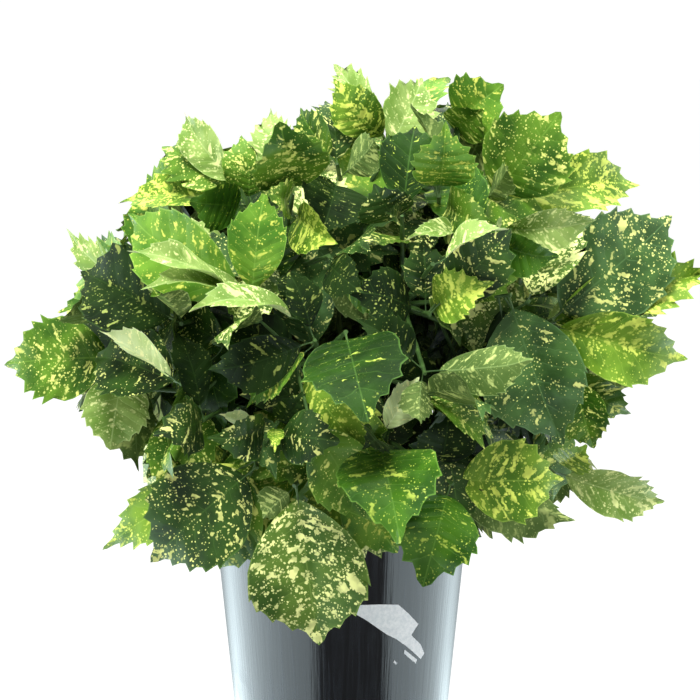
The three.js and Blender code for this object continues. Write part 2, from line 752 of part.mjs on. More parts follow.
// Every shoot gets its first leaf before any gets its second, so no mass crowds out its neighbours.
function addRuleLeaves(stems) {
  const most = Math.max(...stems.map((stem) => stem.leaves.length));
  for (let number = 0; number < most; number += 1) {
    stems.forEach((stem) => {
      TRIES.some((attempt) => {
        const { from, leaf } = ruleLeaf(stem, number, attempt);
        if (beyondCrown(leaf.tip) || hidesFront(leaf)) return false;
        return addLeaf(stem.mass, from, leaf);
      });
    });
  }
}

// Joins a mass into one body. A scrap that met nothing is dropped.
function massSolid(mass) {
  const joined = wasm.Manifold.union(mass.pieces).simplify(JOIN_TOLERANCE);
  return clearOf(joined, []);
}

const potSolid = solidOfGeometry(potGeometry());
const soilSolid = solidOfGeometry(soilGeometry());
keep(potSolid, null);
keep(soilSolid, null);
nodes.push({ name: "pot", solid: potSolid, material: potMaterial });
nodes.push({ name: "soil", solid: soilSolid, material: soilMaterial });
addStems();
addBoughs();
addSpines();
addFrontSprays();
addShoots();
addRuleLeaves(shoots);
addRuleLeaves(spines);
MASSES.forEach((mass) => {
  nodes.push({ name: `foliage_${mass.index + 1}`, solid: massSolid(mass), material: leafMaterial });
});

const plant = new THREE.Group();
nodes.forEach(({ name, solid, material }) => {
  const mesh = new THREE.Mesh(geometryOf(solid), material);
  mesh.name = name;
  plant.add(mesh);
});

export default plant;
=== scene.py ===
# Looks of a spotted laurel in a tall round pot: toothed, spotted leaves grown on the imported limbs,
# with bark, soil and a scuffed glossy pot. The growth rule works in millimetres, as the solids' own
# does, and every mesh is turned to metres when it is made.
import math

import bmesh
import bpy
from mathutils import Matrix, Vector
from mathutils.bvhtree import BVHTree


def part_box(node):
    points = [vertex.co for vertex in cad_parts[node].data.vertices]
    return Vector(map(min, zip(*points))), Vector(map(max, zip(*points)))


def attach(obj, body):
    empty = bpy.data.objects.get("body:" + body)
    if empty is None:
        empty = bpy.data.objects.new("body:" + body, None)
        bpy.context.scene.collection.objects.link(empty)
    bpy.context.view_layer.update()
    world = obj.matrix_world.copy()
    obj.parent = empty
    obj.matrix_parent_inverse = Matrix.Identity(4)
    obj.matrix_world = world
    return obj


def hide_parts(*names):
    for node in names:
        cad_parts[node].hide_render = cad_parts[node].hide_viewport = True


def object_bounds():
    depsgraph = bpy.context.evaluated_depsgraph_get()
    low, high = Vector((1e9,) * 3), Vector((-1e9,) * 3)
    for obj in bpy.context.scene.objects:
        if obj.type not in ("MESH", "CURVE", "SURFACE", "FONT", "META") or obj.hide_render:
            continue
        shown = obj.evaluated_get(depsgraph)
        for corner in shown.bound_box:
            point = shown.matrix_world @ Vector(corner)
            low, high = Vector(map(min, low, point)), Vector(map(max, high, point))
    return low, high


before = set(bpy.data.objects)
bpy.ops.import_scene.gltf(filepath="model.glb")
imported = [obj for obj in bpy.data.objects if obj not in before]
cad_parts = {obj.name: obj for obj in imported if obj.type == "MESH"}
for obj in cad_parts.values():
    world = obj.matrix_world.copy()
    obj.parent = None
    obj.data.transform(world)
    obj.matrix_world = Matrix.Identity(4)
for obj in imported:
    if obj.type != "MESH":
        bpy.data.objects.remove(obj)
cad_low, cad_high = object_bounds()

MM = 0.001
X = Vector((1, 0, 0))
UP = Vector((0, 0, 1))
PLANT_BODY = "root"

# Pot and soil, measured on the frame
POT_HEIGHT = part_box("pot")[1].z / MM
RIM_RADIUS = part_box("pot")[1].x / MM
SOIL_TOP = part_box("soil")[1].z / MM
POT_BASE_RADIUS = 102
RIM_STAND = 3.6
POT_TOP_RADIUS = RIM_RADIUS - RIM_STAND
POT_WALL = 2.6
POT_FLOOR = 5
RIM_DEPTH = 11
SOIL_MOUND = 6
SOIL_SHOULDER = 26
CLEARANCE = 0.3
POT_SEGMENTS = 144

# Crown: reach is measured from its heart, out to the leaf tips
CROWN_HEART = Vector((0, 0, 470))
CROWN_REACH = 272
SKIRT_EXTRA_REACH = 66
SKIRT_ANGLE = 92
SKIRT_SPREAD = 24
CROWN_TOP_ANGLE = 9
CROWN_LOW_ANGLE = 121

# Limbs
STEM_RING = 5
STEM_FOOT_RING = 34
STEM_FORK_RING = 62
STEM_FORK_HEIGHT = 398
MIDDLE_STEM_EXTRA = 34
STEM_SWAY = 9
STEM_TURN = 20
STEM_BEND_OUT = 0.34
STEM_BEND_UP = 0.55
FOOT_SPLAY = 0.5
STEM_FOOT_RADIUS = 10
STEM_FORK_RADIUS = 7
FLARE_RADIUS = 14
FLARE_HEIGHT = 14
MASS_COUNT = 24
BOUGH_RADIUS = 5.2
BOUGH_TIP_RADIUS = 3.6
FIRST_DROP = 0.12
NEXT_DROP = 0.17
BOUGH_BEND_SHARE = 0.42
MASS_START = 104
SPINE_END = 158
SPINE_RADIUS = 3.45
SHOOT_RADIUS = 2.3
SIDE_TWIG_RADIUS = 1.5
STALK_RADIUS = 0.9
NODE_SPACING = 5
LOW_LEAF_DROOP = 0.7
GOLDEN_ANGLE = math.pi * (3 - math.sqrt(5))

# Leaves
SHOOTS_PER_MASS = 3
SHOOT_TILT = 27
LEADER_TILT = 5
TIP_TO_REACH = 92
STALK_LENGTH = 13
LEAF_LENGTH = 122
LEAF_WIDTH_SHARE = 0.62
LEAF_THICKNESS = 0.5
LEAST_LENGTH_TO_WIDTH = 1.3
INNER_LEAVES = 3
INNER_LEAF_SIZE = 0.8

# The front is set out as the camera sees it. Across and up are measured on the upright plane
# through LOOK_AT, and out is the distance towards the eye.
EYE_DISTANCE = 1800
EYE_PITCH = math.radians(10)
LOOK_AT = Vector((9, 0, 453))
TO_EYE = Vector((0, -math.cos(EYE_PITCH), math.sin(EYE_PITCH)))
VIEW_UP = Vector((0, math.sin(EYE_PITCH), math.cos(EYE_PITCH)))
EYE = LOOK_AT + TO_EYE * EYE_DISTANCE
PICTURE_WIDTH = 700
SENSOR_WIDTH = 36

# How far leaves grown by rule may reach in that view, by the angle clockwise from straight up,
# measured about a point VIEW_HEART_UP above LOOK_AT on the pot's axis.
VIEW_HEART_UP = 20
VIEW_REACH = [
    (-180, 236), (-150, 258), (-119, 240), (-98, 312), (-80, 278), (-60, 246), (-40, 248),
    (-26, 206), (-10, 222), (10, 240), (30, 268), (50, 272), (65, 308), (82, 338), (100, 286),
    (115, 262), (130, 280), (150, 250), (180, 236),
]

# The front's dark hollow: leaves grown by rule keep back here, and only front leaves stand out
HOLLOW_MIDDLE = (30, 0)
HOLLOW_REACH = (135, 105)
HOLLOW_OUT = 150

# Leaf tones, dealt out leaf by leaf, and the mark of a leaf whose teeth hardly show
# The first tone below is painted shade: a near-black copy of the dark green, dealt to leaves that
# sit in the crown's shade.
SHADED, DARK, BLUE, DEEP, HEAVY = "old", "dark", "blue", "deep", "heavy"
MID, PLAIN, BRIGHT, GOLD, LIGHT = "mid", "plain", "bright", "gold", "light"
EVEN = "even"

# Front sprays. Each heart is the across, up and out of the twig's tip that its leaves grow from.
# Each leaf: across and up of its tip, its width, how far the tip stands out from the heart, how far
# its face turns from the eye about its midrib (past 90 the underside shows), its tone, and EVEN if
# its teeth hardly show.
FRONT_SPRAYS = [
    ((-93, 45, 212), [
        (-219, 137, 80, -34, -12, BRIGHT, EVEN), (-77, 159, 60, 10, -8, BRIGHT, EVEN),
        (-214, 100, 38, 58, 60, LIGHT, EVEN), (-196, 70, 42, 44, 64, LIGHT, EVEN),
    ]),
    ((-38, 33, 226), [(-152, 41, 50, 18, 62, LIGHT, EVEN), (-54, 80, 40, -30, 30, SHADED, EVEN)]),
    ((-101, 162, 150), [
        (-158, 238, 40, -30, -20, LIGHT, EVEN), (-183, 208, 54, -40, 8, MID),
        (-225, 152, 52, -40, 48, GOLD), (-151, 148, 54, 10, -18, PLAIN),
        (-98, 216, 58, -60, 14, MID),
    ]),
    ((-48, 156, 172), [
        (-60, 226, 82, -14, 10, MID), (-72, 244, 42, -50, -20, LIGHT),
        (-73, 158, 40, 14, 25, MID), (-4, 106, 52, 30, 22, GOLD, EVEN),
    ]),
    ((-4, 186, 150), [
        (-44, 243, 40, -20, -20, MID), (-14, 255, 42, -40, 15, DARK),
        (-20, 115, 76, 34, -10, SHADED, EVEN), (34, 210, 44, 6, 150, MID),
    ]),
    ((52, 206, 128), [
        (-8, 270, 52, -6, -14, GOLD), (-8, 288, 34, -60, 14, LIGHT),
        (84, 275, 54, -40, 10, LIGHT), (110, 276, 40, -66, -30, BRIGHT),
    ]),
    ((98, 154, 178), [
        (105, 226, 66, 0, 6, BRIGHT), (78, 247, 36, -26, 128, MID), (105, 258, 40, -60, -12, BLUE),
        (154, 124, 60, 6, 14, MID, EVEN), (74, 90, 44, -10, 30, DARK),
    ]),
    ((61, 134, 192), [
        (74, 227, 58, -10, -6, DEEP, EVEN), (44, 138, 24, 16, 40, DARK),
        (33, 164, 60, 24, -18, DARK),
    ]),
    ((108, 222, 104), [(161, 265, 68, -20, -6, BRIGHT), (143, 240, 50, -30, 20, MID)]),
    ((146, 148, 140), [
        (220, 237, 96, -20, 4, MID), (168, 184, 34, 18, 140, MID), (305, 170, 60, -60, -16, GOLD),
    ]),
    ((152, 121, 190), [
        (256, 130, 44, 10, 20, LIGHT, EVEN), (97, 178, 62, 6, 10, PLAIN),
        (217, 92, 48, 20, 28, PLAIN, EVEN),
        (66, 114, 32, 50, 62, LIGHT, EVEN),
    ]),
    ((212, 30, 150), [
        (335, 136, 104, -24, 6, BLUE), (350, -12, 70, -10, 8, GOLD),
        (374, 80, 60, -26, -14, GOLD), (331, 124, 44, -80, 20, LIGHT),
    ]),
    ((89, 35, 222), [
        (171, 122, 64, -8, 6, DARK), (168, 126, 40, 56, 118, LIGHT, EVEN),
        (82, 110, 48, -4, 10, DARK),
        (150, 68, 54, 4, -10, GOLD), (12, 60, 62, 20, 24, SHADED, EVEN),
    ]),
    ((170, 55, 186), [
        (220, -97, 106, 10, 8, BLUE, EVEN), (226, -40, 60, -44, 14, MID),
        (192, -98, 64, -60, 10, SHADED),
    ]),
    ((84, -24, 240), [
        (195, -12, 54, 26, 158, MID, EVEN), (17, 33, 46, 8, 22, SHADED), (78, -75, 40, -6, 150, MID),
    ]),
    ((-12, 94, 214), [
        (64, 41, 40, 34, 48, PLAIN, EVEN), (42, 26, 46, -10, 150, MID), (20, 58, 46, -10, 14, SHADED),
    ]),
    ((5, 18, 246), [(26, -67, 108, 20, 0, DEEP)]),
    ((-26, 10, 230), [
        (-52, 78, 42, 6, 30, SHADED), (-132, -22, 60, 0, -20, SHADED, EVEN),
        (-98, -56, 40, 4, 36, BRIGHT),
    ]),
    ((-160, 26, 184), [
        (-265, 82, 88, -36, 4, SHADED), (-279, 121, 40, -70, -32, LIGHT),
        (-188, 62, 44, 20, 124, MID, EVEN),
    ]),
    ((-160, -34, 196), [(-242, 22, 48, 0, 118, LIGHT, EVEN), (-250, -2, 80, -40, 16, DARK)]),
    ((-222, -8, 120), [
        (-339, -14, 86, -24, 8, MID), (-231, -100, 68, 14, 8, LIGHT),
        (-202, -122, 62, 40, 142, BLUE),
    ]),
    ((-138, -70, 206), [
        (-167, 24, 42, 0, 30, SHADED, EVEN), (-178, -84, 60, 24, -14, DARK),
        (-176, -100, 40, 36, 116, MID),
    ]),
    ((-76, -92, 222), [
        (-122, -62, 34, 16, 118, LIGHT, EVEN), (-6, -90, 58, 20, -10, DARK),
        (-36, -42, 44, 8, 24, SHADED),
        (-128, -90, 50, 12, -20, DARK), (-66, -98, 18, 22, 0, GOLD),
    ]),
    ((-84, -118, 206), [
        (-193, -213, 108, -6, 6, DARK), (-140, -223, 68, -30, -10, MID),
        (-244, -200, 54, -50, 12, GOLD),
    ]),
    ((-47, -136, 214), [(-22, -297, 120, -28, 4, HEAVY, EVEN), (-79, -168, 40, -20, 160, MID)]),
    ((38, -92, 232), [
        (59, -188, 108, 6, -4, PLAIN), (24, -98, 40, 20, 20, SHADED), (79, -27, 40, 6, 150, LIGHT),
    ]),
    ((112, -134, 190), [
        (82, -236, 86, 0, 0, PLAIN), (224, -130, 84, -4, 4, GOLD),
        (234, -171, 66, -36, 158, MID), (108, -66, 60, -30, 10, SHADED),
    ]),
    ((214, -124, 112), [(326, -153, 48, -30, 14, LIGHT), (246, -98, 44, -10, 36, GOLD)]),
    ((234, -18, 128), [
        (253, -99, 54, -6, 10, MID), (297, -30, 36, -14, 140, MID), (290, -66, 46, -34, 24, MID),
    ]),
    ((92, 86, 256), [(166, 124, 38, 6, -62, LIGHT, EVEN)]),
]


# Growth rule


def chance(*keys):
    """A fixed number from 0 to 1 for each set of keys."""
    weights = (12.9898, 78.233, 37.719, 9.131)
    mixed = sum((key + 1) * weight for key, weight in zip(keys, weights))
    wave = math.sin(mixed) * 43758.5453
    return wave - math.floor(wave)


def between(low, high, share):
    return low + (high - low) * share


def smooth(low, high, value):
    share = min(1.0, max(0.0, (value - low) / (high - low)))
    return share * share * (3 - 2 * share)


def seen(across, up, out):
    """The point seen at across and up, brought out towards the eye."""
    on_plane = Vector((across, LOOK_AT.y, LOOK_AT.z)) + VIEW_UP * up
    return on_plane.lerp(EYE, out / EYE_DISTANCE)


def sight_of(point):
    """Where a point shows: across, up and out."""
    offset = point - LOOK_AT
    out = offset.dot(TO_EYE)
    scale = EYE_DISTANCE / (EYE_DISTANCE - out)
    return LOOK_AT.x + offset.x * scale, offset.dot(VIEW_UP) * scale, out


def view_reach(angle):
    """The farthest a rule-grown leaf may show from the view's heart, at a clockwise angle."""
    for (low, reach_low), (high, reach_high) in zip(VIEW_REACH, VIEW_REACH[1:]):
        if angle <= high:
            return between(reach_low, reach_high, (angle - low) / (high - low))
    return VIEW_REACH[-1][1]


def reach_towards(direction):
    """The crown's reach in a direction from its heart: wider near the level, where the skirt is."""
    angle = math.degrees(math.acos(max(-1.0, min(1.0, direction.z))))
    spread = (angle - SKIRT_ANGLE) / SKIRT_SPREAD
    return CROWN_REACH + SKIRT_EXTRA_REACH * math.exp(-spread * spread)


def square_to(along, wanted):
    """A vector square to the first, as near as possible to the second."""
    square = wanted - along * wanted.dot(along)
    if square.length_squared < 1e-6:
        square = X - along * along.x
    return square.normalized()


def tilted(axis, tilt, turn):
    """The direction tilted from an axis by an angle, towards a compass turn about that axis."""
    first = square_to(axis, X if abs(axis.z) > 0.9 else UP)
    second = axis.cross(first)
    sideways = first * math.cos(turn) + second * math.sin(turn)
    return (axis * math.cos(tilt) + sideways * math.sin(tilt)).normalized()


class Leaf:
    """One leaf: where its stalk leaves the twig, its base and tip, and how its blade lies."""

    def __init__(self, ends, face, width, arch, fold, tone, seed, fine=False, teeth=1.0):
        self.root, self.base, self.tip = ends
        self.face, self.width, self.arch, self.fold = face, width, arch, fold
        self.tone, self.seed, self.fine, self.teeth = tone, seed, fine, teeth
        self.length = (self.tip - self.base).length
        self.chord = (self.tip - self.base).normalized()
        self.side = face.cross(self.chord)

    def point(self, along, across, raised=0.0):
        """A point of the blade. along is a share of its length, across of its half width."""
        reach = across * self.width / 2
        arch = self.arch * self.length * 4 * along * (1 - along)
        lift = arch + abs(reach) * self.fold + raised
        return self.base + self.chord * (along * self.length) + self.side * reach + self.face * lift

    def drawn(self, limits, key):
        """A value between two limits that stays the same for this leaf and key."""
        return between(*limits, chance(self.seed, key))


class Mass:
    """One foliage mass: the axis it grows along, its spine, and the leaves and twigs it gets."""

    def __init__(self, index):
        share = (index + 0.5) / MASS_COUNT
        top = math.cos(math.radians(CROWN_TOP_ANGLE))
        low = math.cos(math.radians(CROWN_LOW_ANGLE))
        height = between(top, low, share)
        ring = math.sqrt(1 - height * height)
        turn = index * GOLDEN_ANGLE
        self.index = index
        self.axis = Vector((ring * math.cos(turn), ring * math.sin(turn), height))
        self.start = CROWN_HEART + self.axis * MASS_START
        self.end = CROWN_HEART + self.axis * SPINE_END
        self.leaves = []
        self.twigs = []
        self.buds = []


class Shoot:
    """A twig and the leaves it carries. Its index sets its chances apart in its mass."""

    def __init__(self, mass, index, root, tip, twist, leaves, young=0.0):
        self.mass, self.index, self.root, self.tip = mass, index, root, tip
        self.axis = (tip - root).normalized()
        self.twist, self.leaves, self.young = twist, leaves, young
        self.reached = 0.0

    def grown(self):
        """The twig's two ends, the outer one at its last leaf."""
        return [self.root, self.root.lerp(self.tip, self.reached)]


masses = [Mass(index) for index in range(MASS_COUNT)]


def stem_path(index):
    """A stem from the compost to its fork. Stem 0 is the middle one, the others stand round it."""
    foot = SOIL_TOP + CLEARANCE
    middle = index == 0
    turn = math.radians(STEM_TURN) + 2 * math.pi * (index - 1) / STEM_RING
    outward = Vector() if middle else Vector((math.cos(turn), math.sin(turn), 0))
    fork_height = STEM_FORK_HEIGHT + (MIDDLE_STEM_EXTRA if middle else 0)
    sway = Vector((chance(index, 1) - 0.5, chance(index, 2) - 0.5, 0)) * STEM_SWAY

    bend_ring = between(STEM_FOOT_RING, STEM_FORK_RING, STEM_BEND_OUT)
    bend_height = between(foot, fork_height, STEM_BEND_UP)

    def ring(distance, height):
        return outward * distance + UP * height

    return [
        ring(STEM_FOOT_RING, foot),
        ring(STEM_FOOT_RING + FOOT_SPLAY, foot + FLARE_HEIGHT),
        ring(bend_ring, bend_height) + sway,
        ring(STEM_FORK_RING, fork_height),
    ]


stem_paths = [stem_path(index) for index in range(STEM_RING + 1)]
STEM_RADII = [
    FLARE_RADIUS,
    STEM_FOOT_RADIUS,
    between(STEM_FOOT_RADIUS, STEM_FORK_RADIUS, 0.5),
    STEM_FORK_RADIUS,
]


def bough_paths():
    """For each mass, the bough that leaves the nearest stem and ends where the mass begins."""
    taken = [0] * len(stem_paths)
    paths = []
    for mass in masses:
        stem = min(range(len(stem_paths)), key=lambda i: (stem_paths[i][-1] - mass.start).length)
        order = taken[stem]
        taken[stem] += 1
        fork, below = stem_paths[stem][-1], stem_paths[stem][-2]
        root = fork.lerp(below, 0 if order == 0 else FIRST_DROP + NEXT_DROP * (order - 1))
        finish = mass.start - mass.axis * CLEARANCE
        bend = finish - mass.axis * (BOUGH_BEND_SHARE * (finish - root).length)
        paths.append([root, bend, finish])
    return paths


# Room: every blade placed so far, as a coarse sheet that a new one must not cross

SHEET_ROWS = (0.12, 0.3, 0.5, 0.7, 0.86, 1.0)
SHEET_REACH = (0.62, 0.98, 1.0, 0.8, 0.5, 0.05)
SHEET_RADIUS_SHARE = 0.56
BOX_SPARE = 2.0
POT_SPARE = 4
sheets = []


def sheet_of(leaf):
    points = [
        leaf.point(along, side * reach)
        for along, reach in zip(SHEET_ROWS, SHEET_REACH)
        for side in (-1, 0, 1)
    ]
    faces = [
        (3 * row + column, 3 * row + column + 1, 3 * row + column + 4, 3 * row + column + 3)
        for row in range(len(SHEET_ROWS) - 1)
        for column in (0, 1)
    ]
    return points, faces


def crossings(leaf):
    """How many faces of earlier blades the leaf's blade crosses, with its sheet for keeping."""
    points, faces = sheet_of(leaf)
    tree = BVHTree.FromPolygons(points, faces)
    middle = (leaf.base + leaf.tip) / 2
    radius = leaf.length * SHEET_RADIUS_SHARE
    crossed = 0
    for other_middle, other_radius, other_tree in sheets:
        if (other_middle - middle).length < other_radius + radius:
            crossed += len(tree.overlap(other_tree))
    return crossed, (middle, radius, tree)


def inside_box(leaf):
    """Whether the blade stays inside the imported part's box."""
    points, _ = sheet_of(leaf)
    low = cad_low / MM + Vector((BOX_SPARE,) * 3)
    high = cad_high / MM - Vector((BOX_SPARE,) * 3)
    return all(low[i] < point[i] < high[i] for point in points for i in range(3))


def near_pot(leaf):
    """Whether a leaf comes through the pot's wall or rim."""
    for along in (0.25, 0.5, 0.75, 1.0):
        for side in (-0.8, 0, 0.8):
            point = leaf.point(along, side)
            low = point.z < POT_HEIGHT + POT_SPARE
            if low and math.hypot(point.x, point.y) < RIM_RADIUS + POT_SPARE:
                return True
    return False


def place(mass, leaf, sheet):
    mass.leaves.append(leaf)
    sheets.append(sheet)


# How far along the line of sight a front leaf may move to find room, in the order it tries
SHIFTS = (0, 7, -7, 14, -14, 21, -21, 30, -30, -40, -52, -66, -84)
FRONT_ARCH = (0.03, 0.15)
FRONT_FOLD = (0.1, 0.55)
UNDERSIDE_ARCH_SHARE = 0.4
EVEN_TEETH = 0.3
FRONT_TWIG_START = 0.25
TWIG_TOP_SPARE = 3

# A leaf grown by rule shows in front of a front leaf where one of these spots does
FACE_SPOTS = (0.3, 0.65, 1.0)
LEAST_SEEN_HALF_LENGTH = 12
LEAST_SEEN_HALF_WIDTH = 10
HIDING_DEPTH = 6
front_leaves = []


def front_leaf(root, heart, row, spray, number, shift):
    """A front leaf, with its tip brought out far enough that the leaf is longer than it is wide."""
    across, up, width, out, turn, tone, *edge = row
    flat = math.hypot(across - heart[0], up - heart[1])
    least = LEAST_LENGTH_TO_WIDTH * width
    foreshortened = math.sqrt(least * least - flat * flat) if flat < least else 0
    depth = heart[2] + out + foreshortened + shift
    tip = seen(across, up, depth)
    chord = (tip - root).normalized()
    base = root + chord * STALK_LENGTH
    facing = square_to(chord, EYE - base)
    aside = chord.cross(facing)
    angle = math.radians(turn)
    face = facing * math.cos(angle) + aside * math.sin(angle)
    arch = between(*FRONT_ARCH, chance(spray, number, 1))
    if turn > 90:
        arch *= UNDERSIDE_ARCH_SHARE
    fold = between(*FRONT_FOLD, chance(spray, number, 2))
    true_width = width * (1 - depth / EYE_DISTANCE)
    seed = 10 * spray + number
    teeth = EVEN_TEETH if edge else 1.0
    return Leaf(
        (root, base, tip), face, true_width, arch, fold, tone, seed, fine=True, teeth=teeth)


def fitted_front_leaf(root, heart, row, spray, number):
    """The front leaf, moved along the line of sight to where it crosses the fewest others, and its
    sheet. It looks the same wherever it stands on that line."""
    best = None
    for shift in SHIFTS:
        leaf = front_leaf(root, heart, row, spray, number, shift)
        if near_pot(leaf) or not inside_box(leaf):
            continue
        crossed, sheet = crossings(leaf)
        if best is None or crossed < best[0]:
            best = (crossed, leaf, sheet)
        if crossed == 0:
            break
    if best is None:
        leaf = front_leaf(root, heart, row, spray, number, 0)
        return leaf, crossings(leaf)[1]
    return best[1:]


def add_front_sprays():
    """Hangs each front spray on the mass whose spine ends nearest to its heart."""
    for spray, (heart, leaves) in enumerate(FRONT_SPRAYS):
        top = seen(*heart)
        mass = min(masses, key=lambda candidate: (candidate.end - top).length)
        start = mass.end.lerp(mass.start, FRONT_TWIG_START)
        down_twig = (start - top).normalized()
        mass.twigs.append(([start, top], SHOOT_RADIUS))
        for number, row in enumerate(leaves):
            root = top + down_twig * (TWIG_TOP_SPARE + NODE_SPACING * number)
            leaf, sheet = fitted_front_leaf(root, heart, row, spray, number)
            place(mass, leaf, sheet)
            front_leaves.append(leaf)


def front_ellipses():
    """Where each front leaf shows: its middle, the vector to its tip, and its half sizes."""
    ellipses = []
    for front in front_leaves:
        middle = sight_of(front.point(0.5, 0))
        tip = sight_of(front.tip)
        along = (tip[0] - middle[0], tip[1] - middle[1])
        half = max(LEAST_SEEN_HALF_LENGTH, math.hypot(*along))
        ellipses.append((middle, along, half, max(LEAST_SEEN_HALF_WIDTH, front.width * 0.5)))
    return ellipses


def hides_front(leaf, ellipses):
    """Whether a leaf would show in front of one of the front leaves."""
    spots = [sight_of(leaf.point(along, 0)) for along in FACE_SPOTS]
    for middle, along, half, wide in ellipses:
        for spot in spots:
            if spot[2] <= middle[2] - HIDING_DEPTH:
                continue
            across, up = spot[0] - middle[0], spot[1] - middle[1]
            lengthwise = (across * along[0] + up * along[1]) / (half * half)
            sideways = (across * along[1] - up * along[0]) / (half * wide)
            if lengthwise ** 2 + sideways ** 2 < 1:
                return True
    return False


def beyond_crown(point):
    """Whether a point lies past the crown's reach, all round or as seen from the front."""
    from_heart = point - CROWN_HEART
    if from_heart.length > reach_towards(from_heart.normalized()):
        return True
    across, up, out = sight_of(point)
    sideways = (across - HOLLOW_MIDDLE[0]) / HOLLOW_REACH[0]
    upwards = (up - HOLLOW_MIDDLE[1]) / HOLLOW_REACH[1]
    if math.hypot(sideways, upwards) < 1 and out > HOLLOW_OUT:
        return True
    up -= VIEW_HEART_UP
    return math.hypot(across, up) > view_reach(math.degrees(math.atan2(across, up)))


# What a rule-grown leaf tries until it has room: its size and its further turn about the shoot
TRIES = [
    (1, 0), (1, 28), (1, -28), (0.9, 0), (0.9, 52), (0.9, -52),
    (0.8, 0), (0.8, 78), (0.8, -78), (0.72, 20), (0.72, -35), (0.72, 120),
]

# Leaves are given as share along the twig, turn about it, lean from it and size.

# Leaves of one shoot, from the lowest pair to the whorl at its tip
SHOOT_LEAVES = [
    (0.52, 0, 84, 1.1), (0.58, 180, 80, 1.06), (0.74, 95, 66, 1.06),
    (0.8, 275, 62, 1.02), (0.9, 20, 44, 0.94), (0.96, 195, 38, 0.88),
]

# Leaves of a finer side twig, and the shares of the shoot's length that such twigs leave it at
SIDE_TWIG_LEAVES = [
    (0.45, 10, 74, 0.98), (0.55, 190, 70, 0.94), (0.8, 100, 58, 0.9),
    (0.86, 280, 52, 0.86), (0.98, 30, 34, 0.76), (1.0, 200, 28, 0.7),
]
SIDE_TWIG_SHARES = (0.3, 0.55)
SIDE_TWIG_LENGTH = 74
SIDE_TWIG_LEAN = 52
SIDE_TWIG_SPARE = 20
SIDE_TWIG_YOUNG = 0.3

# Late small leaves that fill a shoot's foot and tip
FILL_LEAVES = [
    (0.12, 60, 86, 0.9), (0.2, 240, 82, 0.9), (0.34, 140, 80, 0.94),
    (0.4, 320, 78, 0.94), (0.99, 110, 24, 0.66), (1.0, 290, 18, 0.6),
]
FILL_YOUNG = 0.15
FILL_TWIST = 0.7

# Leaves of a mass's spine
SPINE_LEAF_TURN = 137.5
SPINE_LEAF_LEAN = 78
SPINE_LEAN_STEP = 7

# Limits that each leaf draws its own stray from, in degrees or shares
ANY_SHARE = (0, 1)
LEAN_STRAY = (-13, 13)
TURN_STRAY = (-24, 24)
ROLL_STRAY = (-28, 28)
SAG = (0.02, 0.24)
LENGTH_STRAY = (0.86, 1.14)
WIDTH_STRAY = (0.88, 1.1)
RULE_ARCH = (0.03, 0.14)
RULE_FOLD = (0.04, 0.38)
UPWARD_PULL = 0.7
SMALL_IS_YOUNG = 0.6
FIRST_RULE_SEED = 400

# How often each tone comes up: in the crown, deep in it, where darker tones paint the shade that
# falls there, and on young leaves. Deep is within INNER_REACH of the crown's heart and no more than
# INNER_TOP above it.
TONE_SHARES = (
    (DARK, 0.18), (BLUE, 0.13), (DEEP, 0.05), (HEAVY, 0.17), (MID, 0.25), (PLAIN, 0.05),
    (BRIGHT, 0.06), (GOLD, 0.04), (LIGHT, 0.07),
)
INNER_SHADE_TONE_SHARES = (
    (SHADED, 0.44), (DARK, 0.26), (BLUE, 0.12), (DEEP, 0.1), (HEAVY, 0.04), (MID, 0.04),
)
YOUNG_TONE_SHARES = ((BRIGHT, 0.36), (MID, 0.26), (LIGHT, 0.2), (PLAIN, 0.1), (GOLD, 0.08))
INNER_REACH = 235
INNER_TOP = 110


def dealt_tone(shares, draw):
    for tone, share in shares:
        draw -= share
        if draw < 0:
            return tone
    return shares[0][0]


def rule_leaf(shoot, number, size, shift):
    """A leaf grown by the rule, at a share of its full size and turned on about its shoot."""
    share, turn, lean, scale = shoot.leaves[number]

    def drawn(limits, trait):
        return between(*limits, chance(shoot.mass.index, shoot.index, number, trait))

    tilt = math.radians(lean + drawn(LEAN_STRAY, 1))
    about = math.radians(turn + shift + drawn(TURN_STRAY, 2)) + shoot.twist
    way = tilted(shoot.axis, tilt, about)
    way.z -= drawn(SAG, 3) + max(0, -shoot.axis.z) * LOW_LEAF_DROOP
    way.normalize()
    length = LEAF_LENGTH * scale * size * drawn(LENGTH_STRAY, 4)
    root = shoot.root.lerp(shoot.tip, share)
    base = root + way * STALK_LENGTH * min(1, scale * size + 0.1)
    tip = base + way * length
    upward = square_to(way, shoot.axis + UP * UPWARD_PULL)
    aside = way.cross(upward)
    roll = math.radians(drawn(ROLL_STRAY, 5))
    face = upward * math.cos(roll) + aside * math.sin(roll)
    width = length * LEAF_WIDTH_SHARE * drawn(WIDTH_STRAY, 6)
    arch, fold = drawn(RULE_ARCH, 7), drawn(RULE_FOLD, 8)
    young = drawn(ANY_SHARE, 9) < shoot.young or scale < SMALL_IS_YOUNG
    from_heart = tip - CROWN_HEART
    # Deep in the crown the darker tones are painted shade
    if from_heart.length < INNER_REACH and from_heart.z < INNER_TOP:
        shares = INNER_SHADE_TONE_SHARES
    else:
        shares = YOUNG_TONE_SHARES if young else TONE_SHARES
    tone = dealt_tone(shares, drawn(ANY_SHARE, 10))
    seed = FIRST_RULE_SEED + shoot.mass.index * 40 + shoot.index * 7 + number
    return Leaf((root, base, tip), face, width, arch, fold, tone, seed)


LEADER_START, SHOOT_START = 0.05, 0.35
TILT_STRAY = (0.8, 1.25)
TIP_STRAY = (0.86, 1.25)
SPIN_TO_TURN = 0.12


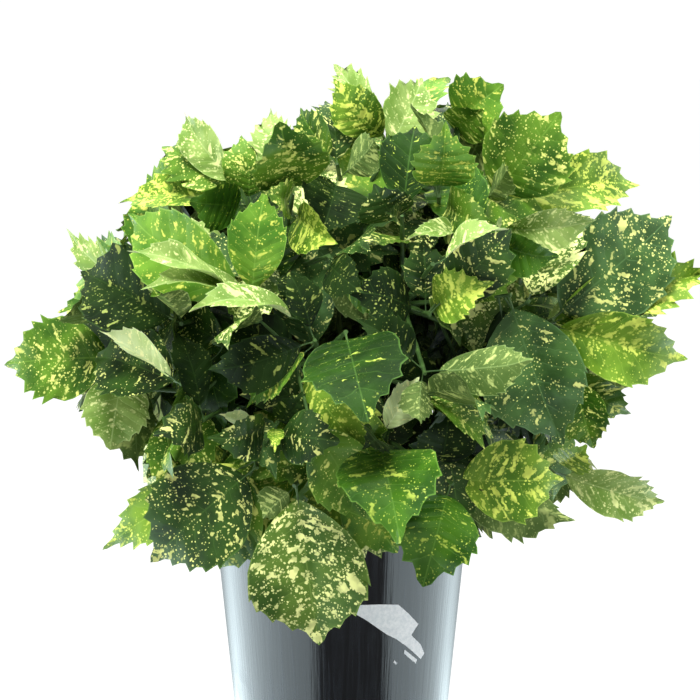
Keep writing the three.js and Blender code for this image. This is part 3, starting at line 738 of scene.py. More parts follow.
def shoot_of(mass, index):
    """A mass's shoot: the leader, index 0, grows nearly straight on and the others to its sides."""
    leader = index == 0
    spin = 2 * math.pi * chance(mass.index, index, 30)
    spread = SHOOT_TILT * between(*TILT_STRAY, chance(mass.index, index, 31))
    tilt = math.radians(LEADER_TILT if leader else spread)
    opposite = math.pi if index == 2 else 0
    turn = 2 * math.pi * chance(mass.index, 40) + opposite + spin * SPIN_TO_TURN
    axis = tilted(mass.axis, tilt, turn)
    root = mass.end.lerp(mass.start, LEADER_START if leader else SHOOT_START)
    short = TIP_TO_REACH * between(*TIP_STRAY, chance(mass.index, index, 32))
    outer = reach_towards(axis) - short
    return Shoot(mass, index, root, CROWN_HEART + axis * outer, spin, SHOOT_LEAVES)


def spine_of(mass):
    """A mass's spine as a shoot that carries the crown's few inner leaves."""
    leaves = []
    for i in range(INNER_LEAVES):
        share = (i + 1) / (INNER_LEAVES + 1)
        lean = SPINE_LEAF_LEAN - SPINE_LEAN_STEP * i
        leaves.append((share, SPINE_LEAF_TURN * i, lean, INNER_LEAF_SIZE))
    return Shoot(mass, SHOOTS_PER_MASS, mass.start, mass.end, mass.index, leaves)


def side_twigs_of(shoot):
    """Finer twigs that leave a shoot to both sides and carry small leaves."""
    twigs = []
    for i, share in enumerate(SIDE_TWIG_SHARES):
        turn = shoot.twist + math.pi * (i + 0.5)
        way = tilted(shoot.axis, math.radians(SIDE_TWIG_LEAN), turn)
        root = shoot.root.lerp(shoot.tip, share)
        tip = root + way * SIDE_TWIG_LENGTH
        index = 10 + shoot.index * 2 + i
        twigs.append(
            Shoot(shoot.mass, index, root, tip, turn, SIDE_TWIG_LEAVES, young=SIDE_TWIG_YOUNG))
    return twigs


def fill_of(shoot):
    """The same shoot once more, for its late small leaves."""
    twist = shoot.twist + FILL_TWIST
    index = 20 + shoot.index
    return Shoot(shoot.mass, index, shoot.root, shoot.tip, twist, FILL_LEAVES, young=FILL_YOUNG)


def grow_leaves(shoots, ellipses):
    """Every shoot gets its first leaf before any gets its second, so none crowds out another."""
    for number in range(max(len(shoot.leaves) for shoot in shoots)):
        for shoot in shoots:
            if number >= len(shoot.leaves):
                continue
            for size, shift in TRIES:
                leaf = rule_leaf(shoot, number, size, shift)
                if beyond_crown(leaf.tip) or near_pot(leaf) or not inside_box(leaf):
                    continue
                if hides_front(leaf, ellipses):
                    continue
                crossed, sheet = crossings(leaf)
                if crossed == 0:
                    place(shoot.mass, leaf, sheet)
                    shoot.reached = max(shoot.reached, shoot.leaves[number][0])
                    break


def grow_crown():
    """Front sprays first, then every leaf and twig that the rule finds room for."""
    add_front_sprays()
    ellipses = front_ellipses()
    shoots = [shoot_of(mass, index) for mass in masses for index in range(SHOOTS_PER_MASS)]
    spines = [spine_of(mass) for mass in masses]
    for spine in spines:
        spine.mass.twigs.append(([spine.root, spine.tip], SPINE_RADIUS))
    grow_leaves(shoots, ellipses)
    grow_leaves(spines, ellipses)
    side_twigs = [
        twig for shoot in shoots for twig in side_twigs_of(shoot)
        if not beyond_crown(twig.tip + twig.axis * SIDE_TWIG_SPARE)
    ]
    grow_leaves(side_twigs, ellipses)
    fills = [fill_of(shoot) for shoot in shoots]
    grow_leaves(fills, ellipses)
    for shoot, fill in zip(shoots, fills):
        shoot.reached = max(shoot.reached, fill.reached)
    for grown, radius, bud in ((shoots, SHOOT_RADIUS, 1.0), (side_twigs, SIDE_TWIG_RADIUS, 0.75)):
        for twig in grown:
            if twig.reached > 0:
                twig.mass.twigs.append((twig.grown(), radius))
                twig.mass.buds.append((twig.grown()[1], twig.axis, bud))


# Node helpers

# Where a Mix node keeps its colours among its sockets
MIX_FIRST, MIX_SECOND, MIX_RESULT = 6, 7, 2

# Noise keeps mostly within these
NOISE_SPAN = (0.3, 0.7)
MIDDLE_NOISE = (0.35, 0.65)


def node(tree, kind, inputs=None, **settings):
    """A node with its settings, and each named input either linked or given a value."""
    made = tree.nodes.new(kind)
    for name, value in settings.items():
        setattr(made, name, value)
    for key, value in (inputs or {}).items():
        if isinstance(value, bpy.types.NodeSocket):
            tree.links.new(value, made.inputs[key])
        else:
            made.inputs[key].default_value = value
    return made


def maths(tree, operation, *values, clamp=False):
    inputs = dict(enumerate(values))
    return node(tree, "ShaderNodeMath", inputs, operation=operation, use_clamp=clamp).outputs[0]


def vector_maths(tree, operation, *values):
    made = node(tree, "ShaderNodeVectorMath", dict(enumerate(values)), operation=operation)
    return made.outputs[0]


def scaled(tree, vector, factor):
    made = node(tree, "ShaderNodeVectorMath", {0: vector, "Scale": factor}, operation="SCALE")
    return made.outputs[0]


def ramp(tree, value, low, high, out_low=0.0, out_high=1.0):
    """Turns low to high into out_low to out_high, smoothly and no further."""
    inputs = {
        "Value": value, "From Min": low, "From Max": high, "To Min": out_low, "To Max": out_high,
    }
    return node(tree, "ShaderNodeMapRange", inputs, interpolation_type="SMOOTHSTEP").outputs[0]


def mixed(tree, share, first, second):
    inputs = {0: share, MIX_FIRST: first, MIX_SECOND: second}
    return node(tree, "ShaderNodeMix", inputs, data_type="RGBA").outputs[MIX_RESULT]


def noise(tree, place, scale, detail=2.0, roughness=0.5):
    inputs = {"Vector": place, "Scale": scale, "Detail": detail, "Roughness": roughness}
    return node(tree, "ShaderNodeTexNoise", inputs).outputs[0]


def cells(tree, place, scale):
    """The outputs of a cell pattern: a colour for each cell and the distance to its middle."""
    return node(tree, "ShaderNodeTexVoronoi", {"Vector": place, "Scale": scale}).outputs


def object_place(tree):
    return node(tree, "ShaderNodeTexCoord").outputs["Object"]


def attribute(tree, name):
    return node(tree, "ShaderNodeAttribute", attribute_name=name).outputs["Vector"]


def parts_of(tree, vector):
    return node(tree, "ShaderNodeSeparateXYZ", {0: vector}).outputs


def vector_of(tree, x, y, z):
    return node(tree, "ShaderNodeCombineXYZ", {0: x, 1: y, 2: z}).outputs[0]


def new_group(name, inputs, outputs):
    """A shader node group with named float inputs and outputs, and its two ends."""
    group = bpy.data.node_groups.new(name, "ShaderNodeTree")
    for title, value in inputs:
        socket = group.interface.new_socket(title, in_out="INPUT", socket_type="NodeSocketFloat")
        socket.default_value = value
    for title in outputs:
        group.interface.new_socket(title, in_out="OUTPUT", socket_type="NodeSocketFloat")
    return group, group.nodes.new("NodeGroupInput"), group.nodes.new("NodeGroupOutput")


def new_material(name):
    material = bpy.data.materials.new(name)
    material.use_nodes = True
    return material, material.node_tree, material.node_tree.nodes["Principled BSDF"]


def add_bump(tree, shader, height, strength, distance):
    """Fine relief in a material's shading."""
    bump = node(tree, "ShaderNodeBump", {
        "Height": height, "Strength": strength, "Distance": distance,
    })
    tree.links.new(bump.outputs[0], shader.inputs["Normal"])


def rgb(red, green, blue):
    """A colour given as a screen shows it, from 0 to 255, in Blender's linear values."""
    def linear(level):
        share = level / 255
        return share / 12.92 if share <= 0.04045 else ((share + 0.055) / 1.055) ** 2.4
    return (linear(red), linear(green), linear(blue), 1.0)


# Leaf finishes

# blade_place: millimetres across and along a blade, and its seed. vein_place: share of the half
# width, share of the length where the side vein through this point ends, and how spotted it is.
BLADE_PLACE = "blade_place"
VEIN_PLACE = "vein_place"
SIDE_VEINS = 8.0
MEAN_LENGTH = 120.0

# Spots, in millimetres: the cells that dots and flecks sit in, and how far their outlines stray
DOT_CELL = 2.3
FLECK_CELL = 6.2
DOT_STRAY = 2.2
FLECK_STRAY = 6.0
FLECK_DRAW = 0.62
SMALL_SPOTS = 2.1
LEAST_SPOT = 0.08
BLOTCH_SCALE = 0.105
WAVER_SCALE = 0.22
CROWD_SCALE = 0.05
CROWDING = (0.5, 1.15)
FAINT_SCALE = 0.11
FAINTNESS = (0.62, 1.0)

# Veins: how far they sway and fade outwards, the midrib's edge in millimetres from the middle and
# the painted highlight's edge along the outline in shares of the half width, and the height between
# them
VEIN_SWAY_SCALE = 0.05
VEIN_SWAY = 0.5
VEIN_FADING = 0.75
MIDRIB_EDGE = (0.3, 0.95)
RIM_HIGHLIGHT_EDGE = (0.955, 0.985)
QUILT_POWER = 0.7
PUCKER_SCALE = 0.22
PUCKER_SHARE = 0.5


def speckle_group():
    """Spots of a leaf: fine dots, flecks and blotches that run out along the side veins."""
    group, given, result = new_group(
        "leaf speckle",
        [("Dots", 0.5), ("Flecks", 0.5), ("Blotches", 0.6), ("Softness", 0.1)],
        ["Spots"],
    )
    softness = given.outputs["Softness"]
    blade = attribute(group, BLADE_PLACE)
    x, _, seed = parts_of(group, blade)
    _, vein_end, spotted = parts_of(group, attribute(group, VEIN_PLACE))
    across = maths(group, "MULTIPLY", x, FLECK_DRAW)
    along = maths(group, "MULTIPLY", vein_end, MEAN_LENGTH)
    along_veins = vector_of(group, across, along, seed)
    waver = {"Vector": blade, "Scale": WAVER_SCALE, "Detail": 1.0}
    wobble = node(group, "ShaderNodeTexNoise", waver).outputs["Color"]
    wobbled = vector_maths(group, "SUBTRACT", wobble, (0.5, 0.5, 0.5))
    shaken = vector_maths(group, "ADD", blade, scaled(group, wobbled, DOT_STRAY))
    drawn = vector_maths(group, "ADD", along_veins, scaled(group, wobbled, FLECK_STRAY))
    crowd = ramp(group, noise(group, blade, CROWD_SCALE), *NOISE_SPAN, *CROWDING)
    more = maths(group, "MULTIPLY", crowd, spotted)
    half_edge = maths(group, "MULTIPLY", softness, 0.5)

    def speckled(place, size, cover):
        """Round spots, one to a cell and most of them small."""
        spots = cells(group, place, 1.0 / size)
        draw, _, _ = parts_of(group, spots["Color"])
        small = maths(group, "POWER", draw, SMALL_SPOTS)
        scale = maths(group, "MULTIPLY_ADD", small, 1 - LEAST_SPOT, LEAST_SPOT)
        radius = maths(group, "MULTIPLY", maths(group, "MULTIPLY", cover, scale), more)
        return node(group, "ShaderNodeMapRange", {
            "Value": spots["Distance"],
            "From Min": maths(group, "SUBTRACT", radius, half_edge),
            "From Max": maths(group, "ADD", radius, half_edge),
            "To Min": 1.0,
            "To Max": 0.0,
        }).outputs[0]

    dots = speckled(shaken, DOT_CELL, given.outputs["Dots"])
    flecks = speckled(drawn, FLECK_CELL, given.outputs["Flecks"])
    field = noise(group, drawn, BLOTCH_SCALE, 1.6)
    fuller = maths(group, "ADD", field, maths(group, "MULTIPLY", spotted, 0.06))
    level = maths(group, "SUBTRACT", fuller, given.outputs["Blotches"])
    edge = maths(group, "ADD", maths(group, "MULTIPLY", softness, 0.3), 0.004)
    blotches = maths(group, "DIVIDE", level, edge, clamp=True)
    spots = maths(group, "MAXIMUM", maths(group, "MAXIMUM", dots, flecks), blotches, clamp=True)
    faint = ramp(group, noise(group, blade, FAINT_SCALE, 1.0), 0.38, 0.62, *FAINTNESS)
    group.links.new(maths(group, "MULTIPLY", spots, faint), result.inputs["Spots"])
    return group


def vein_group():
    """Midrib and side veins of a blade, a painted highlight along its outline, and its quilted
    height.
    """
    group, given, result = new_group(
        "leaf veins", [("Vein Width", 0.05)], ["Veins", "Margin", "Height"])
    blade = attribute(group, BLADE_PLACE)
    across, vein_end, _ = parts_of(group, attribute(group, VEIN_PLACE))
    x, _, _ = parts_of(group, blade)
    stray = maths(group, "SUBTRACT", noise(group, blade, VEIN_SWAY_SCALE), 0.5)
    sway = maths(group, "MULTIPLY", stray, VEIN_SWAY)
    count = maths(group, "ADD", maths(group, "MULTIPLY", vein_end, SIDE_VEINS), sway)
    from_middle = maths(group, "SUBTRACT", maths(group, "FRACT", count), 0.5)
    from_vein = maths(group, "ABSOLUTE", from_middle)
    side_vein = ramp(group, from_vein, 0.0, given.outputs["Vein Width"], 1.0, 0.0)
    fading = maths(group, "SUBTRACT", 1.0, maths(group, "MULTIPLY", across, VEIN_FADING))
    midrib = ramp(group, maths(group, "ABSOLUTE", x), *MIDRIB_EDGE, 1.0, 0.0)
    veins = maths(group, "MAXIMUM", maths(group, "MULTIPLY", side_vein, fading), midrib)
    rim_highlight = ramp(group, across, *RIM_HIGHLIGHT_EDGE)
    quilt = maths(group, "POWER", maths(group, "MULTIPLY", from_vein, 2.0), QUILT_POWER)
    pucker = noise(group, blade, PUCKER_SCALE)
    height = maths(group, "ADD", quilt, maths(group, "MULTIPLY", pucker, PUCKER_SHARE))
    group.links.new(veins, result.inputs["Veins"])
    group.links.new(rim_highlight, result.inputs["Margin"])
    group.links.new(height, result.inputs["Height"])
    return group


speckle = speckle_group()
veining = vein_group()

SPOTTING = ("Dots", "Flecks", "Blotches", "Softness")
LEAF_SHINE = 0.22
DULL_SHINE = 0.1
CREAM = (212, 218, 130)
SOFT_YELLOW = (188, 208, 88)

# Each tone: its green, the deeper green it varies to, its spots and its veins, as a screen shows
# them. Then the size of dots and of flecks, the level that blotches start at and the softness of
# their edges. Last its roughness, relief and shine.
LEAF_TONES = {
    # Painted shade: a near-black copy of the dark green, for leaves that sit in the crown's shade
    SHADED: ("leaf old dark", (28, 48, 15), (12, 26, 8), (136, 150, 76), (46, 70, 30),
          (0.46, 0.36, 0.715, 0.1), 0.44, 0.3, DULL_SHINE),
    DARK: ("leaf dark", (42, 70, 22), (18, 36, 12), CREAM, (70, 102, 42),
           (0.54, 0.44, 0.695, 0.1), 0.42, 0.3, LEAF_SHINE),
    BLUE: ("leaf blue green", (66, 99, 48), (39, 65, 28), CREAM, (92, 126, 76),
           (0.6, 0.46, 0.7, 0.1), 0.38, 0.3, LEAF_SHINE),
    DEEP: ("leaf deep plain green", (36, 66, 16), (20, 42, 10), SOFT_YELLOW, (78, 114, 46),
           (0.38, 0.32, 0.73, 0.16), 0.38, 0.5, 0.16),
    HEAVY: ("leaf heavily spotted", (88, 118, 44), (52, 82, 26), (234, 241, 157), (124, 152, 74),
            (0.8, 0.64, 0.672, 0.12), 0.4, 0.32, LEAF_SHINE),
    MID: ("leaf mid green", (86, 124, 34), (42, 76, 16), (214, 222, 120), (112, 150, 58),
          (0.52, 0.48, 0.68, 0.16), 0.38, 0.34, LEAF_SHINE),
    PLAIN: ("leaf plain green", (64, 106, 26), (36, 72, 16), SOFT_YELLOW, (100, 142, 56),
            (0.46, 0.38, 0.69, 0.2), 0.34, 0.55, LEAF_SHINE),
    BRIGHT: ("leaf bright green", (102, 144, 44), (64, 108, 28), (212, 218, 100), (132, 170, 74),
             (0.42, 0.44, 0.675, 0.2), 0.36, 0.36, LEAF_SHINE),
    GOLD: ("leaf gold blotched", (108, 144, 42), (66, 102, 24), (206, 220, 98), (144, 176, 72),
           (0.62, 0.56, 0.645, 0.16), 0.4, 0.34, LEAF_SHINE),
    LIGHT: ("leaf pale green", (138, 164, 86), (98, 130, 52), (216, 226, 150), (176, 198, 128),
            (0.5, 0.46, 0.68, 0.2), 0.38, 0.34, LEAF_SHINE),
}
UNDERSIDE_TONES = [
    ("leaf underside", (102, 127, 66), (76, 101, 48), (190, 206, 124), (146, 172, 106),
     (0.46, 0.46, 0.63, 0.3), 0.44, 0.3, DULL_SHINE),
    ("leaf pale underside", (212, 230, 168), (182, 206, 132), (244, 248, 178), (226, 238, 190),
     (0.46, 0.46, 0.62, 0.22), 0.44, 0.3, DULL_SHINE),
]
PALE_BELOW = (BRIGHT, LIGHT)

# How far a leaf's green varies, its veins and painted edge highlight show and its roughness strays
# both ways
CLOUD_SCALE = 0.03
VEIN_SHARE = 0.4
RIM_HIGHLIGHT_SHARE = 0.6
SHEEN_SCALE = 0.12
SHINIER, DULLER = 0.05, 0.08
LEAF_BUMP = 0.0012

# How spotted the leaves of each tone are, and how far single ones differ from that
SPOT_SHARES = (0.78, 1.16)
SPOTTED = {
    SHADED: 0.85, DARK: 0.9, BLUE: 0.85, DEEP: 0.65, HEAVY: 1.15,
    MID: 1.0, PLAIN: 0.7, BRIGHT: 0.9, GOLD: 1.1, LIGHT: 1.0,
}


def leaf_material(name, body, deep, spot, vein, spotting, gloss, relief, shine):
    """The finish of a leaf's upper or under face."""
    material, tree, shader = new_material(name)
    body, deep, spot, vein = rgb(*body), rgb(*deep), rgb(*spot), rgb(*vein)
    spots = node(tree, "ShaderNodeGroup", dict(zip(SPOTTING, spotting)), node_tree=speckle)
    veins = node(tree, "ShaderNodeGroup", node_tree=veining)
    blade = attribute(tree, BLADE_PLACE)
    cloud = ramp(tree, noise(tree, blade, CLOUD_SCALE, 3.0), *MIDDLE_NOISE)
    green = mixed(tree, cloud, body, deep)
    vein_share = maths(tree, "MULTIPLY", veins.outputs["Veins"], VEIN_SHARE)
    rim_highlight_share = maths(tree, "MULTIPLY", veins.outputs["Margin"], RIM_HIGHLIGHT_SHARE)
    veined = mixed(tree, vein_share, green, vein)
    spotted = mixed(tree, spots.outputs["Spots"], veined, spot)
    # Painted highlight: a paler band along the blade's outline, in the vein colour
    edged = mixed(tree, rim_highlight_share, spotted, vein)
    tree.links.new(edged, shader.inputs["Base Color"])
    sheen = noise(tree, blade, SHEEN_SCALE)
    rough = ramp(tree, sheen, *NOISE_SPAN, gloss - SHINIER, gloss + DULLER)
    tree.links.new(rough, shader.inputs["Roughness"])
    add_bump(tree, shader, veins.outputs["Height"], relief, LEAF_BUMP)
    shader.inputs["Specular IOR Level"].default_value = shine
    return material


leaf_materials = [leaf_material(*tone) for tone in LEAF_TONES.values()]
underside_materials = [leaf_material(*tone) for tone in UNDERSIDE_TONES]
TONES = tuple(LEAF_TONES)


# Leaf blades

# The lines of points a blade is made on, for fine front leaves and for the others. A tooth's rows
# give their share of its stretch of the outline and how far they stand in or out.
BASAL_ROWS = {True: (0.03, 0.08, 0.15, 0.23, 0.31, 0.39), False: (0.05, 0.16, 0.3, 0.43)}
TOOTH_ROWS = {True: ((0, -0.7), (0.42, -0.15), (0.8, 1.0)), False: ((0, -0.7), (0.8, 1.0))}
COLUMNS = {True: (-1, -0.86, -0.5, -0.16, 0, 0.16, 0.5, 0.86, 1), False: (-1, -0.5, 0, 0.5, 1)}
LEAST_TEETH = 4
MORE_TEETH = 1.99
TOOTH_STRAY = (-0.1, 0.1)
TEETH_FROM, TEETH_TO = 0.48, 0.95
VEIN_SWEEP = 0.75
TOOTH_DEPTH_SHARE = 0.036
DEEPEST_TEETH_LENGTH = 110
TOOTH_LEAN = 0.032
QUILT_HEIGHT = 0.2

# Limits that each blade draws its own form from. Swell and droop are shares of its length, cup of
# its width.
WIDEST = (0.84, 1.08)
TOOTH_SHARPNESS = (0.4, 1.5)
TOOTH_DEPTHS = (0.3, 1.4)
EDGE_SWELL = (0.01, 0.042)
EDGE_WAVES = (1.2, 2.0)
TIP_DROOP = (0.0, 0.12)
CUP = (-0.05, 0.04)

# Length to width that makes a blade slender, and the powers that its outline narrows by: at the
# base, and further on to the tip for a broad and for a slender blade
SLENDER = (1.35, 2.1)
BASE_NARROWING = 0.7
TIP_NARROWING = (0.5, 1.15)
DROOP_FROM = 0.55
SEED_STEP = 37.0


def half_outline(leaf, share):
    """The blade's half width, as a share of its widest, at a share of its length."""
    widest = leaf.drawn(WIDEST, 61)
    slender = max(smooth(*SLENDER, leaf.length / leaf.width), math.sqrt(chance(leaf.seed, 62)))
    narrowing = BASE_NARROWING + between(*TIP_NARROWING, slender) * smooth(0.5, 1.0, share)
    return math.sin(math.pi * share ** widest) ** narrowing


def outline_rows(leaf):
    """(place along the outline, tooth) of each row, base to tip. tooth is below 0 in a valley."""
    rows = [(share, 0.0) for share in BASAL_ROWS[leaf.fine]]
    teeth = LEAST_TEETH
    if leaf.fine:
        teeth += int(MORE_TEETH * chance(leaf.seed, 51))
    step = (TEETH_TO - TEETH_FROM) / teeth
    for tooth in range(teeth):
        start = TEETH_FROM + step * (tooth + between(*TOOTH_STRAY, chance(leaf.seed, tooth, 50)))
        rows.extend((start + step * share, out) for share, out in TOOTH_ROWS[leaf.fine])
    return rows


def midrib_place(share):
    """Where the side vein that ends at this share of the outline leaves the midrib."""
    return share - VEIN_SWEEP * share * (1 - share)


def blade_vertex(leaf, share, across, tooth):
    """(point, millimetres across, millimetres along) of the blade's middle sheet."""
    side = 1 if across > 0 else -1
    waver = chance(leaf.seed, int(share * 40), 5 + side)
    sharpness = leaf.drawn(TOOTH_SHARPNESS, 59) * leaf.teeth
    depth = TOOTH_DEPTH_SHARE * min(leaf.length, DEEPEST_TEETH_LENGTH)
    deep = depth * between(*TOOTH_DEPTHS, waver) * sharpness
    outline = half_outline(leaf, share)
    reach = outline * leaf.width / 2 * across
    lean = 0.0
    if abs(across) == 1 and tooth:
        reach += side * deep * tooth * min(1, 2 * outline)
        lean = TOOTH_LEAN if tooth > 0 else 0.0
    along = between(midrib_place(share), share + lean, abs(across))
    along = min(along, 1.0)
    phase = 2 * math.pi * chance(leaf.seed, 52 + side)
    swell = leaf.drawn(EDGE_SWELL, 55) * leaf.length
    wave = math.sin(2 * math.pi * leaf.drawn(EDGE_WAVES, 56) * share + phase)
    droop = leaf.drawn(TIP_DROOP, 57) * leaf.length * smooth(DROOP_FROM, 1.0, along) ** 2
    cup = leaf.drawn(CUP, 58) * leaf.width * across * across
    quilt = 0.0
    if leaf.fine and 0 < abs(across) < 1:
        quilt = QUILT_HEIGHT * math.cos(2 * math.pi * share * SIDE_VEINS)
    raised = wave * swell * across * across - droop + cup + quilt
    width_share = reach / (leaf.width / 2)
    return leaf.point(along, width_share, raised), reach, along * leaf.length


class Sheets:
    """The joined blades of one mass, as the lists that its mesh is made from."""

    def __init__(self):
        self.points, self.blade, self.vein = [], [], []
        self.faces, self.slots, self.maps, self.rims = [], [], [], []
        self.cell = 0

    def vertex(self, point, blade, vein):
        self.points.append(point * MM)
        self.blade.append(blade)
        self.vein.append(vein)
        return len(self.points) - 1

    def face(self, corners, slot, cell, leaf):
        self.faces.append(corners)
        self.slots.append(slot)
        for corner in corners:
            across, along, _ = self.blade[corner]
            self.maps.append((cell, across / leaf.length, along / leaf.length))

    def add(self, leaf):
        """Both faces of a blade, joined in its outline, thickest at the midrib."""
        columns = COLUMNS[leaf.fine]
        rows = outline_rows(leaf)
        spotted = SPOTTED[leaf.tone] * leaf.drawn(SPOT_SHARES, 60)
        seed = leaf.seed * SEED_STEP
        base = self.vertex(leaf.base, (0, 0, seed), (0, 0, spotted))
        tip_point, _, _ = blade_vertex(leaf, 1.0, 0, 0)
        tip = self.vertex(tip_point, (0, leaf.length, seed), (0, 1, spotted))
        upper, under = [], []
        for share, tooth in rows:
            over_row, below_row = [], []
            for across in columns:
                point, x, y = blade_vertex(leaf, share, across, tooth)
                half = leaf.face * (LEAF_THICKNESS / 2 * (1 - across * across))
                blade, vein = (x, y, seed), (abs(across), share, spotted)
                over = self.vertex(point + half, blade, vein)
                on_edge = abs(across) == 1
                over_row.append(over)
                below_row.append(over if on_edge else self.vertex(point - half, blade, vein))
            upper.append(over_row)
            under.append(below_row)
        for lines, slot, flip in (
            (upper, TONES.index(leaf.tone), False),
            (under, len(TONES) + int(leaf.tone in PALE_BELOW), True),
        ):
            self.sheet(lines, base, tip, slot, flip, leaf)
        for edge in (0, len(columns) - 1):
            line = [base] + [row[edge] for row in upper] + [tip]
            self.rims.extend(zip(line, line[1:]))

    def sheet(self, lines, base, tip, slot, flip, leaf):
        cell = self.cell
        self.cell += 1

        def keep(*corners):
            self.face(corners[::-1] if flip else corners, slot, cell, leaf)

        for j in range(len(lines[0]) - 1):
            keep(base, lines[0][j], lines[0][j + 1])
            keep(tip, lines[-1][j + 1], lines[-1][j])
        middle = len(lines[0]) // 2
        for low, high in zip(lines, lines[1:]):
            for j in range(middle):
                keep(low[j], high[j], low[j + 1])
                keep(high[j], high[j + 1], low[j + 1])
            for j in range(middle, len(low) - 1):
                keep(low[j], high[j], high[j + 1])
                keep(low[j], high[j + 1], low[j + 1])


def plain_mesh(name, points, faces):
    mesh = bpy.data.meshes.new(name)
    mesh.from_pydata(points, [], faces)
    return mesh


def shown(name, mesh):
    """A new piece of the scene that shows a mesh."""
    piece = bpy.data.objects.new(name, mesh)
    bpy.context.scene.collection.objects.link(piece)
    return piece


def set_attribute(mesh, name, kind, key, values):
    made = mesh.attributes.new(name, kind, "POINT")
    made.data.foreach_set(key, values)


BAKE_MAP = "OFBake"
CELL_SPARE = 0.04
CELL_ASPECT = 0.86


def map_corners(mesh, maps, cells):
    """Lays each blade face in its own cell of a grid, so that no two share a place."""
    columns = math.ceil(math.sqrt(cells / CELL_ASPECT))
    rows = math.ceil(cells / columns)
    places = []
    for cell, across, along in maps:
        u = 0.5 + across * (1 - CELL_SPARE) / CELL_ASPECT
        v = CELL_SPARE / 2 + along * (1 - CELL_SPARE)
        places.extend(((cell % columns + u) / columns, (cell // columns + v) / rows))
    mesh.uv_layers.new(name=BAKE_MAP).data.foreach_set("uv", places)


def add_leaves(mass):
    """The joined leaves of one mass."""
    sheets_of_mass = Sheets()
    for leaf in mass.leaves:
        sheets_of_mass.add(leaf)
    name = f"leaves_{mass.index + 1}"
    mesh = plain_mesh(name, sheets_of_mass.points, sheets_of_mass.faces)
    for material in leaf_materials + underside_materials:
        mesh.materials.append(material)
    mesh.polygons.foreach_set("material_index", sheets_of_mass.slots)
    mesh.polygons.foreach_set("use_smooth", [True] * len(mesh.polygons))
    for title, rows in ((BLADE_PLACE, sheets_of_mass.blade), (VEIN_PLACE, sheets_of_mass.vein)):
        values = [value for row in rows for value in row]
        set_attribute(mesh, title, "FLOAT_VECTOR", "vector", values)
    map_corners(mesh, sheets_of_mass.maps, sheets_of_mass.cell)
    rims = {tuple(sorted(rim)) for rim in sheets_of_mass.rims}
    sharp = [tuple(sorted(edge.vertices)) in rims for edge in mesh.edges]
    made = mesh.attributes.new("sharp_edge", "BOOLEAN", "EDGE")
    made.data.foreach_set("value", sharp)
    piece = shown(name, mesh)
    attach(piece, PLANT_BODY)
    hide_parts(f"foliage_{mass.index + 1}")


# Limbs by Geometry Nodes

RELIEF_DRAW = 0.35


def geometry_tree(name, inputs):
    """A Geometry Nodes tree with a geometry in and out and the named inputs, and its two ends."""
    tree = bpy.data.node_groups.new(name, "GeometryNodeTree")
    tree.interface.new_socket("Geometry", in_out="INPUT", socket_type="NodeSocketGeometry")
    for title, kind in inputs:
        tree.interface.new_socket(title, in_out="INPUT", socket_type=kind)
    tree.interface.new_socket("Geometry", in_out="OUTPUT", socket_type="NodeSocketGeometry")
    return tree, tree.nodes.new("NodeGroupInput"), tree.nodes.new("NodeGroupOutput")


def finish_tree(tree, given, result, geometry):
    """Ends a tree in smooth shading, realized instances and its material."""
    smooth_all = node(tree, "GeometryNodeSetShadeSmooth", {"Geometry": geometry})
    real = node(tree, "GeometryNodeRealizeInstances", {"Geometry": smooth_all.outputs[0]})
    painted = node(tree, "GeometryNodeSetMaterial", {
        "Geometry": real.outputs[0], "Material": given.outputs["Material"]})
    tree.links.new(painted.outputs[0], result.inputs[0])


def named(tree, name, kind="FLOAT"):
    """A named attribute of the geometry."""
    made = node(tree, "GeometryNodeInputNamedAttribute", {"Name": name}, data_type=kind)
    return made.outputs[0]


def limb_tree():
    """Turns lines of points, each with its girth, into round limbs with bark relief."""
    tree, given, result = geometry_tree("limb", [
        ("Sides", "NodeSocketInt"), ("Relief", "NodeSocketFloat"),
        ("Relief Scale", "NodeSocketFloat"), ("Material", "NodeSocketMaterial"),
    ])
    line = node(tree, "GeometryNodeMeshToCurve", {"Mesh": given.outputs["Geometry"]})
    girth = named(tree, "girth")
    ring = node(tree, "GeometryNodeCurvePrimitiveCircle", {
        "Resolution": given.outputs["Sides"], "Radius": 1.0,
    })
    tube = node(tree, "GeometryNodeCurveToMesh", {
        "Curve": line.outputs[0], "Profile Curve": ring.outputs[0],
        "Scale": girth, "Fill Caps": True,
    })
    place = node(tree, "GeometryNodeInputPosition").outputs[0]
    flattened = vector_maths(tree, "MULTIPLY", place, (1.0, 1.0, RELIEF_DRAW))
    grain = noise(tree, flattened, given.outputs["Relief Scale"], 3.0)
    swell = maths(tree, "SUBTRACT", grain, 0.5)
    deep = maths(tree, "MULTIPLY", swell, given.outputs["Relief"])
    by_girth = maths(tree, "MULTIPLY", deep, girth)
    normal = node(tree, "GeometryNodeInputNormal").outputs[0]
    rough = node(tree, "GeometryNodeSetPosition", {
        "Geometry": tube.outputs[0], "Offset": scaled(tree, normal, by_girth),
    })
    finish_tree(tree, given, result, rough.outputs[0])
    return tree


def grown_by(piece, tree, **values):
    """Runs a tree on a piece with the named inputs, and leaves its result as a plain mesh."""
    grower = piece.modifiers.new("grow", "NODES")
    grower.node_group = tree
    for item in tree.interface.items_tree:
        key = item.name.replace(" ", "_").lower()
        if item.in_out == "INPUT" and key in values:
            grower[item.identifier] = values[key]
    bpy.context.view_layer.update()
    depsgraph = bpy.context.evaluated_depsgraph_get()
    plain = bpy.data.meshes.new_from_object(piece.evaluated_get(depsgraph))
    piece.modifiers.clear()
    lines = piece.data
    piece.data = plain
    bpy.data.meshes.remove(lines)
    plain.name = piece.name


